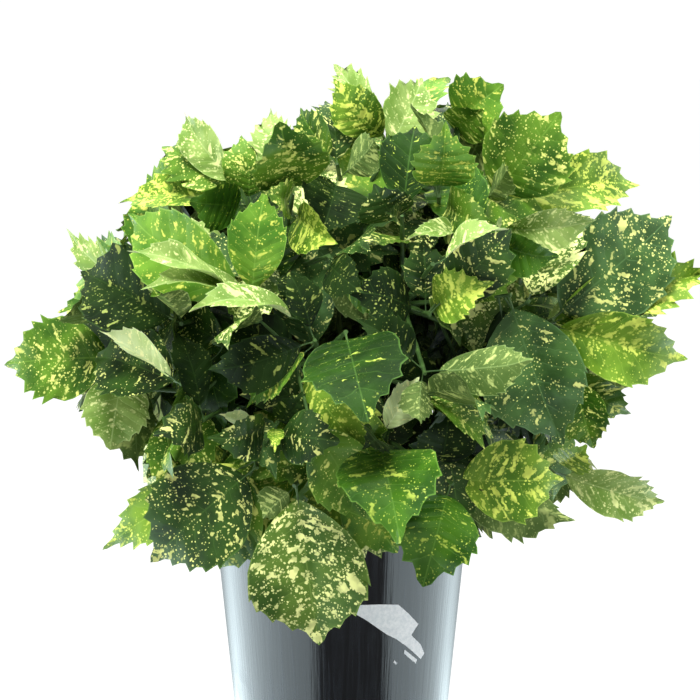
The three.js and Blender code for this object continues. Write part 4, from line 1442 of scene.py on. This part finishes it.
def curved(points, radii, count):
    """Points on one smooth curve through the given ones, with the girth at each."""
    ends = [points[0] * 2 - points[1], *points, points[-1] * 2 - points[-2]]
    girths = [radii[0], *radii, radii[-1]]
    line = []
    spans = len(points) - 1
    for step in range(count + 1):
        at = min(step / count * spans, spans - 1e-6)
        i, t = int(at), at - int(at)
        a, b, c, d = ends[i:i + 4]
        point = 0.5 * (2 * b + (c - a) * t + (2 * a - 5 * b + 4 * c - d) * t * t
                       + (3 * b - a - 3 * c + d) * t ** 3)
        line.append((point, between(girths[i + 1], girths[i + 2], t)))
    return line


def limb_lines(name, lines):
    """A piece of bare lines, each a list of (point, girth), for the limb tree to thicken."""
    points, edges, girths = [], [], []
    for line in lines:
        first = len(points)
        points.extend(point * MM for point, _ in line)
        girths.extend(girth * MM for _, girth in line)
        edges.extend((first + i, first + i + 1) for i in range(len(line) - 1))
    mesh = bpy.data.meshes.new(name)
    mesh.from_pydata(points, edges, [])
    set_attribute(mesh, "girth", "FLOAT", "value", girths)
    return shown(name, mesh)


GRAIN_SCALE = 900.0
GRAIN_DRAW = 0.2
PORE_EDGE = (0.12, 0.22)
PORE_SHARE = 0.6


def bark_group():
    """Bark: broad patches, fine lengthwise grain and pale pores."""
    group, given, result = new_group(
        "bark grain", [("Patch Scale", 60.0), ("Pore Scale", 700.0)], ["Patches", "Grain", "Pores"])
    place = object_place(group)
    drawn = vector_maths(group, "MULTIPLY", place, (1.0, 1.0, GRAIN_DRAW))
    patches = ramp(group, noise(group, place, given.outputs["Patch Scale"], 3.0), *MIDDLE_NOISE)
    grain = noise(group, drawn, GRAIN_SCALE, 3.0, 0.6)
    from_pore = cells(group, place, given.outputs["Pore Scale"])["Distance"]
    pores = ramp(group, from_pore, *PORE_EDGE, 1.0, 0.0)
    group.links.new(patches, result.inputs["Patches"])
    group.links.new(grain, result.inputs["Grain"])
    group.links.new(pores, result.inputs["Pores"])
    return group


bark_grain = bark_group()


def bark_material(name, light, dark, pore, patch_scale, roughness, relief):
    material, tree, shader = new_material(name)
    grain = node(tree, "ShaderNodeGroup", {"Patch Scale": patch_scale}, node_tree=bark_grain)
    body = mixed(tree, grain.outputs["Patches"], light, dark)
    pore_share = maths(tree, "MULTIPLY", grain.outputs["Pores"], PORE_SHARE)
    speckled = mixed(tree, pore_share, body, pore)
    tree.links.new(speckled, shader.inputs["Base Color"])
    shader.inputs["Roughness"].default_value = roughness
    height = maths(tree, "ADD", grain.outputs["Grain"], grain.outputs["Pores"])
    add_bump(tree, shader, height, relief, 0.0006)
    return material


WOODY_BARK = bark_material(
    "woody bark", rgb(118, 112, 78), rgb(84, 84, 52), rgb(150, 142, 108), 60.0, 0.7, 0.7)
GREEN_BARK = bark_material(
    "green twig bark", rgb(64, 92, 42), rgb(46, 72, 32), rgb(100, 120, 70), 110.0, 0.5, 0.35)
limb = limb_tree()

# Points along and round a limb
STEM_STEPS, STEM_SIDES = 26, 16
BOUGH_STEPS, BOUGH_SIDES = 16, 10
TWIG_LEAST_STEPS, TWIG_SIDES = 4, 6


def dress_limbs():
    """Stems and boughs with bark relief, each in place of its packed limb."""
    paths = [
        (f"stem_{i + 1}", path, STEM_RADII, STEM_STEPS, STEM_SIDES)
        for i, path in enumerate(stem_paths)
    ]
    bough_radii = [BOUGH_RADIUS, between(BOUGH_RADIUS, BOUGH_TIP_RADIUS, 0.55), BOUGH_TIP_RADIUS]
    for i, path in enumerate(bough_paths()):
        paths.append((f"bough_{i + 1}", path, bough_radii, BOUGH_STEPS, BOUGH_SIDES))
    for title, path, radii, steps, sides in paths:
        piece = limb_lines(f"{title}_bark", [curved(path, radii, steps)])
        grown_by(piece, limb, sides=sides, relief=0.22, relief_scale=220.0, material=WOODY_BARK)
        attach(piece, PLANT_BODY)
        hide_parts(title)


SCAR_SPACING = 14
SCAR_SWELLING, BETWEEN_SCARS = 1.18, 0.94
TWIG_TAPER = (1.15, 0.8)

# A stalk sags half way and ends in the blade. Its girth is given where it leaves the twig, half
# way, at the blade's base and at its end.
STALK_SAG = 1.0
STALK_GIRTHS = (1.5, 1.0, 1.05, 0.5)
STALK_END = 0.09
BELOW_BASE, BELOW_BLADE = 0.3, 0.4


def twig_line(points, radius):
    """A tapering twig with a swelling at each pair of leaf scars."""
    root, tip = points
    count = max(TWIG_LEAST_STEPS, int((tip - root).length / SCAR_SPACING))
    line = []
    for i in range(count + 1):
        share = i / count
        swelling = SCAR_SWELLING if i % 2 else BETWEEN_SCARS
        line.append((root.lerp(tip, share), radius * between(*TWIG_TAPER, share) * swelling))
    return line


def stalk_line(leaf):
    """A leaf's stalk: it leaves the twig, sags a little and widens into the midrib."""
    thick = STALK_RADIUS * min(1.25, leaf.length / 100)
    points = [
        leaf.root,
        leaf.root.lerp(leaf.base, 0.5) - leaf.face * STALK_SAG,
        leaf.base - leaf.face * BELOW_BASE,
        leaf.point(STALK_END, 0) - leaf.face * BELOW_BLADE,
    ]
    return [(point, thick * girth) for point, girth in zip(points, STALK_GIRTHS)]


def add_twigs(mass):
    """The twigs and leaf stalks of one mass."""
    lines = [twig_line(points, radius) for points, radius in mass.twigs]
    lines.extend(stalk_line(leaf) for leaf in mass.leaves)
    piece = limb_lines(f"twigs_{mass.index + 1}", lines)
    grown_by(piece, limb, sides=TWIG_SIDES, relief=0.12, relief_scale=300.0, material=GREEN_BARK)
    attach(piece, PLANT_BODY)
    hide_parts(f"foliage_{mass.index + 1}")


# Buds

BUD_LENGTH = 11
BUD_RADIUS = 2.7
BUD_PROFILE = ((0.0, 0.62), (0.12, 0.9), (0.34, 1.0), (0.6, 0.78), (0.84, 0.36))
BUD_SIDES = 6
BUD_RIDGE, BUD_GROOVE = 1.12, 0.9


def bud_mesh():
    """A pointed bud of overlapping scales, standing along Z."""
    points, faces = [], []
    for i, (share, reach) in enumerate(BUD_PROFILE):
        for k in range(BUD_SIDES):
            turn = 2 * math.pi * (k + 0.5 * (i % 2)) / BUD_SIDES
            radius = reach * (BUD_RIDGE if (k + i) % 2 else BUD_GROOVE) * BUD_RADIUS * MM
            height = share * BUD_LENGTH * MM
            points.append((radius * math.cos(turn), radius * math.sin(turn), height))
    for i in range(len(BUD_PROFILE) - 1):
        for k in range(BUD_SIDES):
            a, b = i * BUD_SIDES + k, i * BUD_SIDES + (k + 1) % BUD_SIDES
            faces.append((a, b, b + BUD_SIDES, a + BUD_SIDES))
    tip = len(points)
    points.append((0, 0, BUD_LENGTH * MM))
    last = tip - BUD_SIDES
    faces.extend((last + k, last + (k + 1) % BUD_SIDES, tip) for k in range(BUD_SIDES))
    faces.append(tuple(range(BUD_SIDES))[::-1])
    return plain_mesh("bud", points, faces)


def scatter_tree():
    """Puts a copy of one shape on each point, turned along the point's heading and sized by it."""
    tree, given, result = geometry_tree("buds on tips", [
        ("Shape", "NodeSocketObject"), ("Material", "NodeSocketMaterial"),
    ])
    shape = node(tree, "GeometryNodeObjectInfo", {"Object": given.outputs["Shape"]})
    heading = {"Vector": named(tree, "heading", "FLOAT_VECTOR")}
    turned = node(tree, "FunctionNodeAlignRotationToVector", heading, axis="Z")
    points = node(tree, "GeometryNodeMeshToPoints", {"Mesh": given.outputs["Geometry"]})
    copies = node(tree, "GeometryNodeInstanceOnPoints", {
        "Points": points.outputs[0], "Instance": shape.outputs["Geometry"],
        "Rotation": turned.outputs[0], "Scale": named(tree, "size"),
    })
    finish_tree(tree, given, result, copies.outputs[0])
    return tree


def add_buds():
    shape = shown("bud_shape", bud_mesh())
    spots = [bud for mass in masses for bud in mass.buds]
    mesh = plain_mesh("buds", [point * MM for point, _, _ in spots], [])
    headings = [value for _, heading, _ in spots for value in heading]
    set_attribute(mesh, "heading", "FLOAT_VECTOR", "vector", headings)
    set_attribute(mesh, "size", "FLOAT", "value", [size for _, _, size in spots])
    buds = shown("buds", mesh)
    grown_by(buds, scatter_tree(), shape=shape, material=GREEN_BARK)
    bpy.data.objects.remove(shape)
    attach(buds, PLANT_BODY)


# Pot, soil and label

# Heights that the pot's foot and wall are drawn towards, the wall's step, and the band's slant
FOOT_MARK = 60
WALL_MARK = 200
WALL_STEP = 20
BAND_LEAN = 0.6
BAND_SLANT = 1.2

# How far from a corner its rounding starts
ROUNDING_STEPS = 4
FOOT_ROUNDING = 3.0
BAND_ROUNDING = 1.0
LIP_ROUNDING = 2.0
MOUTH_ROUNDING = 1.2


def pot_radius_at(height):
    return between(POT_BASE_RADIUS, POT_TOP_RADIUS, height / POT_HEIGHT)


def lathe(name, profile, segments):
    """A closed shape turned about the pot's axis. The profile runs from the axis out and back."""
    points, faces = [], []
    rings = []
    for radius, height in profile:
        if radius == 0:
            rings.append([len(points)] * segments)
            points.append((0, 0, height * MM))
            continue
        rings.append(list(range(len(points), len(points) + segments)))
        for k in range(segments):
            turn = 2 * math.pi * k / segments
            points.append((radius * MM * math.cos(turn), radius * MM * math.sin(turn), height * MM))
    for low, high in zip(rings, rings[1:]):
        for k in range(segments):
            corners = (low[k], low[(k + 1) % segments], high[(k + 1) % segments], high[k])
            faces.append(tuple(dict.fromkeys(corners)))
    mesh = plain_mesh(name, points, faces)
    mesh.polygons.foreach_set("use_smooth", [True] * len(mesh.polygons))
    return mesh


def rounded(corner, before, after, radius):
    """Points of a profile that rounds a corner between its neighbours."""
    corner, before, after = Vector(corner), Vector(before), Vector(after)
    start = corner + (before - corner).normalized() * radius
    end = corner + (after - corner).normalized() * radius
    points = []
    for i in range(ROUNDING_STEPS + 1):
        t = i / ROUNDING_STEPS
        points.append(tuple(start.lerp(corner, t).lerp(corner.lerp(end, t), t)))
    return points


def pot_profile():
    """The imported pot's profile with its corners rounded: foot, wall, rim band and inside."""
    band_low = POT_HEIGHT - RIM_DEPTH
    under_band = (pot_radius_at(band_low), band_low)
    on_wall_below = (pot_radius_at(WALL_MARK), WALL_MARK)
    band_foot = (RIM_RADIUS - BAND_LEAN, band_low + BAND_SLANT)
    inner_top = POT_TOP_RADIUS - POT_WALL
    up_band, down_band = (RIM_RADIUS, POT_HEIGHT - 3), (RIM_RADIUS, POT_HEIGHT - 4)
    rim_top = (POT_TOP_RADIUS, POT_HEIGHT)
    inside_below = (on_wall_below[0] - POT_WALL, WALL_MARK)
    corners = [
        (under_band, on_wall_below, band_foot, BAND_ROUNDING),
        (band_foot, under_band, up_band, BAND_ROUNDING),
        ((RIM_RADIUS, POT_HEIGHT), down_band, rim_top, LIP_ROUNDING),
        ((inner_top, POT_HEIGHT), rim_top, inside_below, MOUTH_ROUNDING),
    ]
    foot_wall = (pot_radius_at(FOOT_MARK), FOOT_MARK)
    foot = rounded((POT_BASE_RADIUS, 0), (0, 0), foot_wall, FOOT_ROUNDING)
    profile = [(0, 0), (FOOT_MARK, 0), *foot]
    heights = range(WALL_STEP, int(band_low) - 4, WALL_STEP)
    profile.extend((pot_radius_at(height), height) for height in heights)
    for corner in corners:
        profile.extend(rounded(*corner))
    profile.append((pot_radius_at(POT_FLOOR) - POT_WALL, POT_FLOOR))
    profile.append((0, POT_FLOOR))
    return profile


# The pot's finish: its plastic, the film of dust and the specks on it. Lines and streaks run up it,
# and smudges reach to SMUDGE_TOP, in metres.
PLASTIC, DUST, SPECK = rgb(10, 11, 13), rgb(120, 134, 152), rgb(20, 20, 20)
LINE_SCALE, STREAK_SCALE, FILM_SCALE = 34.0, 7.0, 14.0
LINE_DRAW = 0.35
LINE_DUST, STREAK_DUST, CLOUD_DUST = (0.35, 1.0), (0.75, 1.0), (0.6, 1.0)
SPECK_SCALE, SPECK_EDGE, SPECK_SHARE = 120.0, (0.05, 0.09), 0.5
SMUDGE_SCALE, SMUDGE_TOP = 19.0, (0.1, 0.17)
FILM_SHARE, SMUDGE_SHARE = 0.08, 0.05
LINE_ROUGHNESS, SMUDGE_ROUGHNESS = (0.1, 0.24), 0.2


def pot_material():
    """Glossy black plastic, drawn with fine upright lines under a film of pale dust."""
    material, tree, shader = new_material("black pot plastic")
    place = object_place(tree)
    x, y, z = parts_of(tree, place)
    spoke = vector_maths(tree, "NORMALIZE", vector_of(tree, x, y, 0.0))
    upright = vector_of(tree, 0.0, 0.0, maths(tree, "MULTIPLY", z, LINE_DRAW))
    lines_at = vector_maths(tree, "ADD", spoke, upright)
    lines = noise(tree, lines_at, LINE_SCALE, 3.0, 0.6)
    lined = ramp(tree, lines, 0.35, 0.7, *LINE_DUST)
    streaked = ramp(tree, noise(tree, lines_at, STREAK_SCALE), *NOISE_SPAN, *STREAK_DUST)
    cloudy = ramp(tree, noise(tree, place, FILM_SCALE, 4.0, 0.55), *NOISE_SPAN, *CLOUD_DUST)
    film = maths(tree, "MULTIPLY", maths(tree, "MULTIPLY", lined, cloudy), streaked)
    specks = ramp(tree, cells(tree, place, SPECK_SCALE)["Distance"], *SPECK_EDGE, 1.0, 0.0)
    low_down = ramp(tree, z, *SMUDGE_TOP, 1.0, 0.0)
    smudged = ramp(tree, noise(tree, place, SMUDGE_SCALE, 3.0), 0.52, 0.7)
    smudges = maths(tree, "MULTIPLY", smudged, low_down)
    film_dust = maths(tree, "MULTIPLY", film, FILM_SHARE)
    dust = maths(tree, "MULTIPLY_ADD", smudges, SMUDGE_SHARE, film_dust)
    dusty = mixed(tree, dust, PLASTIC, DUST)
    dotted = mixed(tree, maths(tree, "MULTIPLY", specks, SPECK_SHARE), dusty, SPECK)
    tree.links.new(dotted, shader.inputs["Base Color"])
    drawn = ramp(tree, lines, *NOISE_SPAN, *LINE_ROUGHNESS)
    rough = maths(tree, "MULTIPLY_ADD", smudges, SMUDGE_ROUGHNESS, drawn)
    tree.links.new(rough, shader.inputs["Roughness"])
    add_bump(tree, shader, lines, 0.3, 0.0008)
    shader.inputs["IOR"].default_value = 1.5
    return material


def add_pot():
    piece = shown("pot_plastic", lathe("pot_plastic", pot_profile(), POT_SEGMENTS))
    piece.data.materials.append(pot_material())
    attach(piece, PLANT_BODY)
    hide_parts("pot")


# The compost's look: its clods, and the shreds of bark in it
CLOD_SCALE, SHRED_SCALE = 90.0, 260.0
SHRED_EDGE, SHRED_SHARE = (0.1, 0.2), 0.3


def soil_material():
    """Dark damp compost with lighter shreds of bark."""
    material, tree, shader = new_material("compost")
    place = object_place(tree)
    clods = noise(tree, place, CLOD_SCALE, 5.0, 0.6)
    body = mixed(tree, ramp(tree, clods, *NOISE_SPAN), rgb(38, 30, 24), rgb(72, 56, 42))
    shreds = ramp(tree, cells(tree, place, SHRED_SCALE)["Distance"], *SHRED_EDGE, 1.0, 0.0)
    shredded = mixed(tree, maths(tree, "MULTIPLY", shreds, SHRED_SHARE), body, rgb(120, 98, 72))
    tree.links.new(shredded, shader.inputs["Base Color"])
    shader.inputs["Roughness"].default_value = 0.92
    add_bump(tree, shader, clods, 0.8, 0.002)
    return material


SOIL_RINGS = 14
SOIL_SEGMENTS = 96
CRUMB_EDGE = 2
CRUMBS_PER_SQUARE_METRE = 90000.0
CRUMB_RADIUS = 0.0022
CRUMB_LEAST = (0.4, 0.3, 0.25)
CRUMB_MOST = (1.5, 1.0, 0.7)
CRUMB_TURNS = (0.5, 0.5, 6.28)


def soil_profile():
    gap = POT_WALL + CLEARANCE
    foot = POT_FLOOR + CLEARANCE
    shoulder = STEM_FOOT_RING + FLARE_RADIUS + SOIL_SHOULDER
    edge = pot_radius_at(SOIL_TOP - SOIL_MOUND) - gap
    profile = [(0, foot), (pot_radius_at(foot) - gap, foot), (edge, SOIL_TOP - SOIL_MOUND)]
    for i in range(1, SOIL_RINGS):
        radius = between(edge, 0, i / SOIL_RINGS)
        height = SOIL_TOP - SOIL_MOUND * smooth(shoulder, edge, radius)
        profile.append((radius, height))
    return profile + [(0, SOIL_TOP)]


def crumb_tree():
    """Scatters crumbs of several sizes over a surface."""
    tree, given, result = geometry_tree("crumbs", [
        ("Density", "NodeSocketFloat"), ("Crumb Size", "NodeSocketFloat"),
        ("Seed", "NodeSocketInt"), ("Material", "NodeSocketMaterial"),
    ])
    points = node(tree, "GeometryNodeDistributePointsOnFaces", {
        "Mesh": given.outputs["Geometry"], "Density": given.outputs["Density"],
        "Seed": given.outputs["Seed"],
    })
    crumb = node(tree, "GeometryNodeMeshIcoSphere", {
        "Radius": given.outputs["Crumb Size"], "Subdivisions": 1,
    })

    def random_vector(least, most):
        drawn = {0: least, 1: most, "Seed": given.outputs["Seed"]}
        return node(tree, "FunctionNodeRandomValue", drawn, data_type="FLOAT_VECTOR").outputs[0]

    copies = node(tree, "GeometryNodeInstanceOnPoints", {
        "Points": points.outputs[0], "Instance": crumb.outputs[0],
        "Scale": random_vector(CRUMB_LEAST, CRUMB_MOST),
        "Rotation": random_vector((0, 0, 0), CRUMB_TURNS),
    })
    finish_tree(tree, given, result, copies.outputs[0])
    return tree


def add_soil():
    compost = soil_material()
    piece = shown("compost", lathe("compost", soil_profile(), SOIL_SEGMENTS))
    piece.data.materials.append(compost)
    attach(piece, PLANT_BODY)
    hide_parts("soil")
    (edge, edge_height), *top = soil_profile()[2:]
    strewn = [(edge - CRUMB_EDGE, edge_height), *top]
    crumbs = shown("compost_crumbs", lathe("compost_crumbs", strewn, SOIL_SEGMENTS))
    grown_by(
        crumbs, crumb_tree(), density=CRUMBS_PER_SQUARE_METRE, crumb_size=CRUMB_RADIUS, seed=7,
        material=compost,
    )
    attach(crumbs, PLANT_BODY)


# The blank rest of a torn label: where its outline shows in the 700 by 700 picture
LABEL_OUTLINE = [
    (352, 612), (360, 605), (379, 604.4), (398, 604.5), (408, 613), (418, 624), (411, 635),
    (420, 644), (424, 653), (420.5, 659), (413, 652), (406, 646), (396, 639), (386, 634),
    (376, 627), (366, 620),
]
LABEL_SCRAP = [(404.5, 649.5), (410, 654), (416.8, 659.5), (415.6, 663.4), (409, 658), (403.6, 653)]
LABEL_SPECK = [(394, 660), (397, 663), (395.6, 664.4), (393.4, 662.4)]
LABEL_LIFT = 0.25
LABEL_THICKNESS = 0.18
LABEL_STRIP = 3
HALVINGS = 60
FIBRE_SCALE, STAIN_SCALE = 260.0, 45.0
STAINING = (0.0, 0.4)


def on_wall(x, y):
    """The point of the pot's front wall that shows at a pixel of the picture."""
    half = PICTURE_WIDTH / 2
    target = seen(LOOK_AT.x + x - half, half - y, 0)
    ray = (target - EYE).normalized()
    low, high = 0.0, (Vector((0, 0, target.z)) - EYE).length
    for _ in range(HALVINGS):
        middle = (low + high) / 2
        point = EYE + ray * middle
        inside = math.hypot(point.x, point.y) < pot_radius_at(point.z)
        low, high = (low, middle) if inside else (middle, high)
    return EYE + ray * high


def label_material():
    material, tree, shader = new_material("torn paper")
    place = object_place(tree)
    fibres = noise(tree, place, FIBRE_SCALE, 4.0, 0.65)
    stains = noise(tree, place, STAIN_SCALE)
    body = mixed(tree, ramp(tree, fibres, *NOISE_SPAN), rgb(210, 219, 223), rgb(234, 239, 241))
    stained = mixed(tree, ramp(tree, stains, 0.5, 0.8, *STAINING), body, rgb(170, 178, 190))
    tree.links.new(stained, shader.inputs["Base Color"])
    shader.inputs["Roughness"].default_value = 0.8
    add_bump(tree, shader, fibres, 0.4, 0.0003)
    return material


def label_patch(outline):
    """A flat patch in the picture's pixels, cut into strips, laid on the wall and thickened."""
    patch = bmesh.new()
    patch.faces.new([patch.verts.new((x, -y, 0)) for x, y in outline])
    right = max(x for x, _ in outline)
    cut = min(x for x, _ in outline) + LABEL_STRIP
    while cut < right:
        geometry = patch.verts[:] + patch.edges[:] + patch.faces[:]
        bmesh.ops.bisect_plane(patch, geom=geometry, plane_co=(cut, 0, 0), plane_no=(1, 0, 0))
        cut += LABEL_STRIP
    bmesh.ops.triangulate(patch, faces=patch.faces[:])
    bmesh.ops.recalc_face_normals(patch, faces=patch.faces[:])
    for vertex in patch.verts:
        spot = on_wall(vertex.co.x, -vertex.co.y)
        spoke = Vector((spot.x, spot.y, 0)).normalized()
        vertex.co = (spot + spoke * (LABEL_LIFT + LABEL_THICKNESS)) * MM
    if sum(face.normal.dot(TO_EYE) for face in patch.faces) < 0:
        bmesh.ops.reverse_faces(patch, faces=patch.faces[:])
    patch.normal_update()
    bmesh.ops.solidify(patch, geom=patch.faces[:], thickness=LABEL_THICKNESS * MM)
    return patch


def add_label():
    mesh = bpy.data.meshes.new("label_rest")
    whole = bmesh.new()
    for outline in (LABEL_OUTLINE, LABEL_SCRAP, LABEL_SPECK):
        patch = label_patch(outline)
        patch.to_mesh(mesh)
        whole.from_mesh(mesh)
        patch.free()
    whole.to_mesh(mesh)
    whole.free()
    piece = shown("label_rest", mesh)
    piece.data.materials.append(label_material())
    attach(piece, PLANT_BODY)


# Studio


def add_camera():
    lens = bpy.data.cameras.new("camera")
    lens.sensor_width = SENSOR_WIDTH
    lens.lens = SENSOR_WIDTH * EYE_DISTANCE / PICTURE_WIDTH
    lens.clip_end = 50
    camera = bpy.data.objects.new("camera", lens)
    camera.location = EYE * MM
    camera.rotation_euler = (-TO_EYE).to_track_quat("-Z", "Y").to_euler()
    bpy.context.scene.collection.objects.link(camera)
    bpy.context.scene.camera = camera


# Each lamp: where it stands, its size in metres and its power in watts. None shows in the gloss.
LAMP_AIM = Vector((0, 0, 0.42))
LAMPS = [
    ("key softbox", (-0.3, -1.2, 2.3), (0.9, 0.7), 66),
    ("top softbox", (0.2, 0.2, 2.2), (1.6, 1.6), 62),
    ("left softbox", (-1.6, -0.2, 0.5), (1.2, 1.3), 26),
    ("right softbox", (1.6, -0.2, 0.5), (1.2, 1.3), 17),
    ("low softbox", (0, -2.2, 0.12), (2.4, 0.3), 12),
]

# Painted reflection: the floor glows to glossy rays alone, so the pot's gloss finds bright panels
# that are not there, and a dark gap in front that lies DARK_TURN degrees to the right of the camera
# and is as wide as DARK_COSINE says
PAINTED_REFLECTION_GLOW = 3.6
LEFT_REFLECTION_GAIN = 1.26
REFLECTION_TINT = (0.8, 0.95, 1.0, 1)
DARK_TURN = 9
DARK_COSINE = 0.86
FAR_GLOW, NEAR_GLOW = 1.4, 0.85
BEHIND_EDGE, BEHIND_GLOW = (0.38, 0.94), 0.1
LEFT_EDGE = (-0.95, -0.5)
# Painted bounce light: how brightly the floor glows to diffuse rays
PAINTED_BOUNCE_GLOW = 0.45
FLOOR_HALF = 30

# How bright the surround is to the camera, in the gloss and as light
SURROUND_SEEN, SURROUND_SHEEN, SURROUND_LIGHT = 1.0, 1.2, 0.075


def softbox(name, place, size, power):
    lamp = bpy.data.lights.new(name, "AREA")
    lamp.shape = "RECTANGLE"
    lamp.size, lamp.size_y = size
    lamp.energy = power
    holder = bpy.data.objects.new(name, lamp)
    holder.location = place
    holder.rotation_euler = (LAMP_AIM - Vector(place)).to_track_quat("-Z", "Y").to_euler()
    holder.visible_glossy = False
    bpy.context.scene.collection.objects.link(holder)


def floor_material():
    """White where the camera looks. To glossy rays it glows as a painted reflection, bright to both
    sides and dark in front and behind, as between two white panels, and to diffuse rays it glows
    faintly as painted bounce light."""
    material, tree, shader = new_material("white floor")
    shader.inputs["Base Color"].default_value = (0.1, 0.1, 0.1, 1)
    shader.inputs["Roughness"].default_value = 1.0
    shader.inputs["Specular IOR Level"].default_value = 0.0
    path = node(tree, "ShaderNodeLightPath").outputs
    tint = mixed(tree, path["Is Glossy Ray"], (1, 1, 1, 1), REFLECTION_TINT)
    tree.links.new(tint, shader.inputs["Emission Color"])
    place = object_place(tree)
    away = node(tree, "ShaderNodeVectorMath", {0: place}, operation="LENGTH").outputs["Value"]
    turned = math.radians(DARK_TURN)
    dark_way = (math.sin(turned), -math.cos(turned), 0)
    forward = node(tree, "ShaderNodeVectorMath", {0: place, 1: dark_way}, operation="DOT_PRODUCT")
    cosine = maths(tree, "DIVIDE", forward.outputs["Value"], away)
    graded = ramp(tree, cosine, -0.6, 0.85, PAINTED_REFLECTION_GLOW * FAR_GLOW, PAINTED_REFLECTION_GLOW * NEAR_GLOW)
    x, y, _ = parts_of(tree, place)
    behind = ramp(tree, maths(tree, "DIVIDE", y, away), *BEHIND_EDGE, 1.0, BEHIND_GLOW)
    left = ramp(tree, maths(tree, "DIVIDE", x, away), *LEFT_EDGE, LEFT_REFLECTION_GAIN, 1.0)
    ahead = ramp(tree, cosine, DARK_COSINE - 0.05, DARK_COSINE + 0.03, 1.0, 0.0)
    beside = maths(tree, "MULTIPLY", graded, left)
    painted_reflection = maths(tree, "MULTIPLY", beside, maths(tree, "MULTIPLY", behind, ahead))
    # Painted reflection: a glow that only glossy rays see
    mirrored = maths(tree, "MULTIPLY", path["Is Glossy Ray"], painted_reflection)
    # Painted bounce light: a faint glow that diffuse rays see
    painted_bounce = maths(tree, "MULTIPLY", path["Is Diffuse Ray"], PAINTED_BOUNCE_GLOW)
    lit = maths(tree, "ADD", path["Is Camera Ray"], maths(tree, "ADD", mirrored, painted_bounce))
    tree.links.new(lit, shader.inputs["Emission Strength"])
    return material


def white_surround():
    world = bpy.data.worlds.new("white surround")
    world.use_nodes = True
    bpy.context.scene.world = world
    sky = world.node_tree
    path = node(sky, "ShaderNodeLightPath").outputs
    seen_white = maths(sky, "MULTIPLY", path["Is Camera Ray"], SURROUND_SEEN)
    sheen = maths(sky, "MULTIPLY", path["Is Glossy Ray"], SURROUND_SHEEN)
    background = sky.nodes["Background"]
    background.inputs["Color"].default_value = (1, 1, 1, 1)
    strength = maths(sky, "ADD", maths(sky, "ADD", seen_white, sheen), SURROUND_LIGHT)
    sky.links.new(strength, background.inputs["Strength"])


def add_studio():
    """A white floor that runs into a white surround, with soft lamps above and beside."""
    corners = [(x * FLOOR_HALF, y * FLOOR_HALF, 0) for x, y in ((-1, -1), (1, -1), (1, 1), (-1, 1))]
    floor = shown("floor", plain_mesh("floor", corners, [(0, 1, 2, 3)]))
    floor.data.materials.append(floor_material())
    white_surround()
    for lamp in LAMPS:
        softbox(*lamp)
    bpy.context.scene.view_settings.view_transform = "Standard"


add_camera()
grow_crown()
for each in masses:
    add_leaves(each)
    add_twigs(each)
add_buds()
dress_limbs()
add_pot()
add_soil()
add_label()
add_studio()
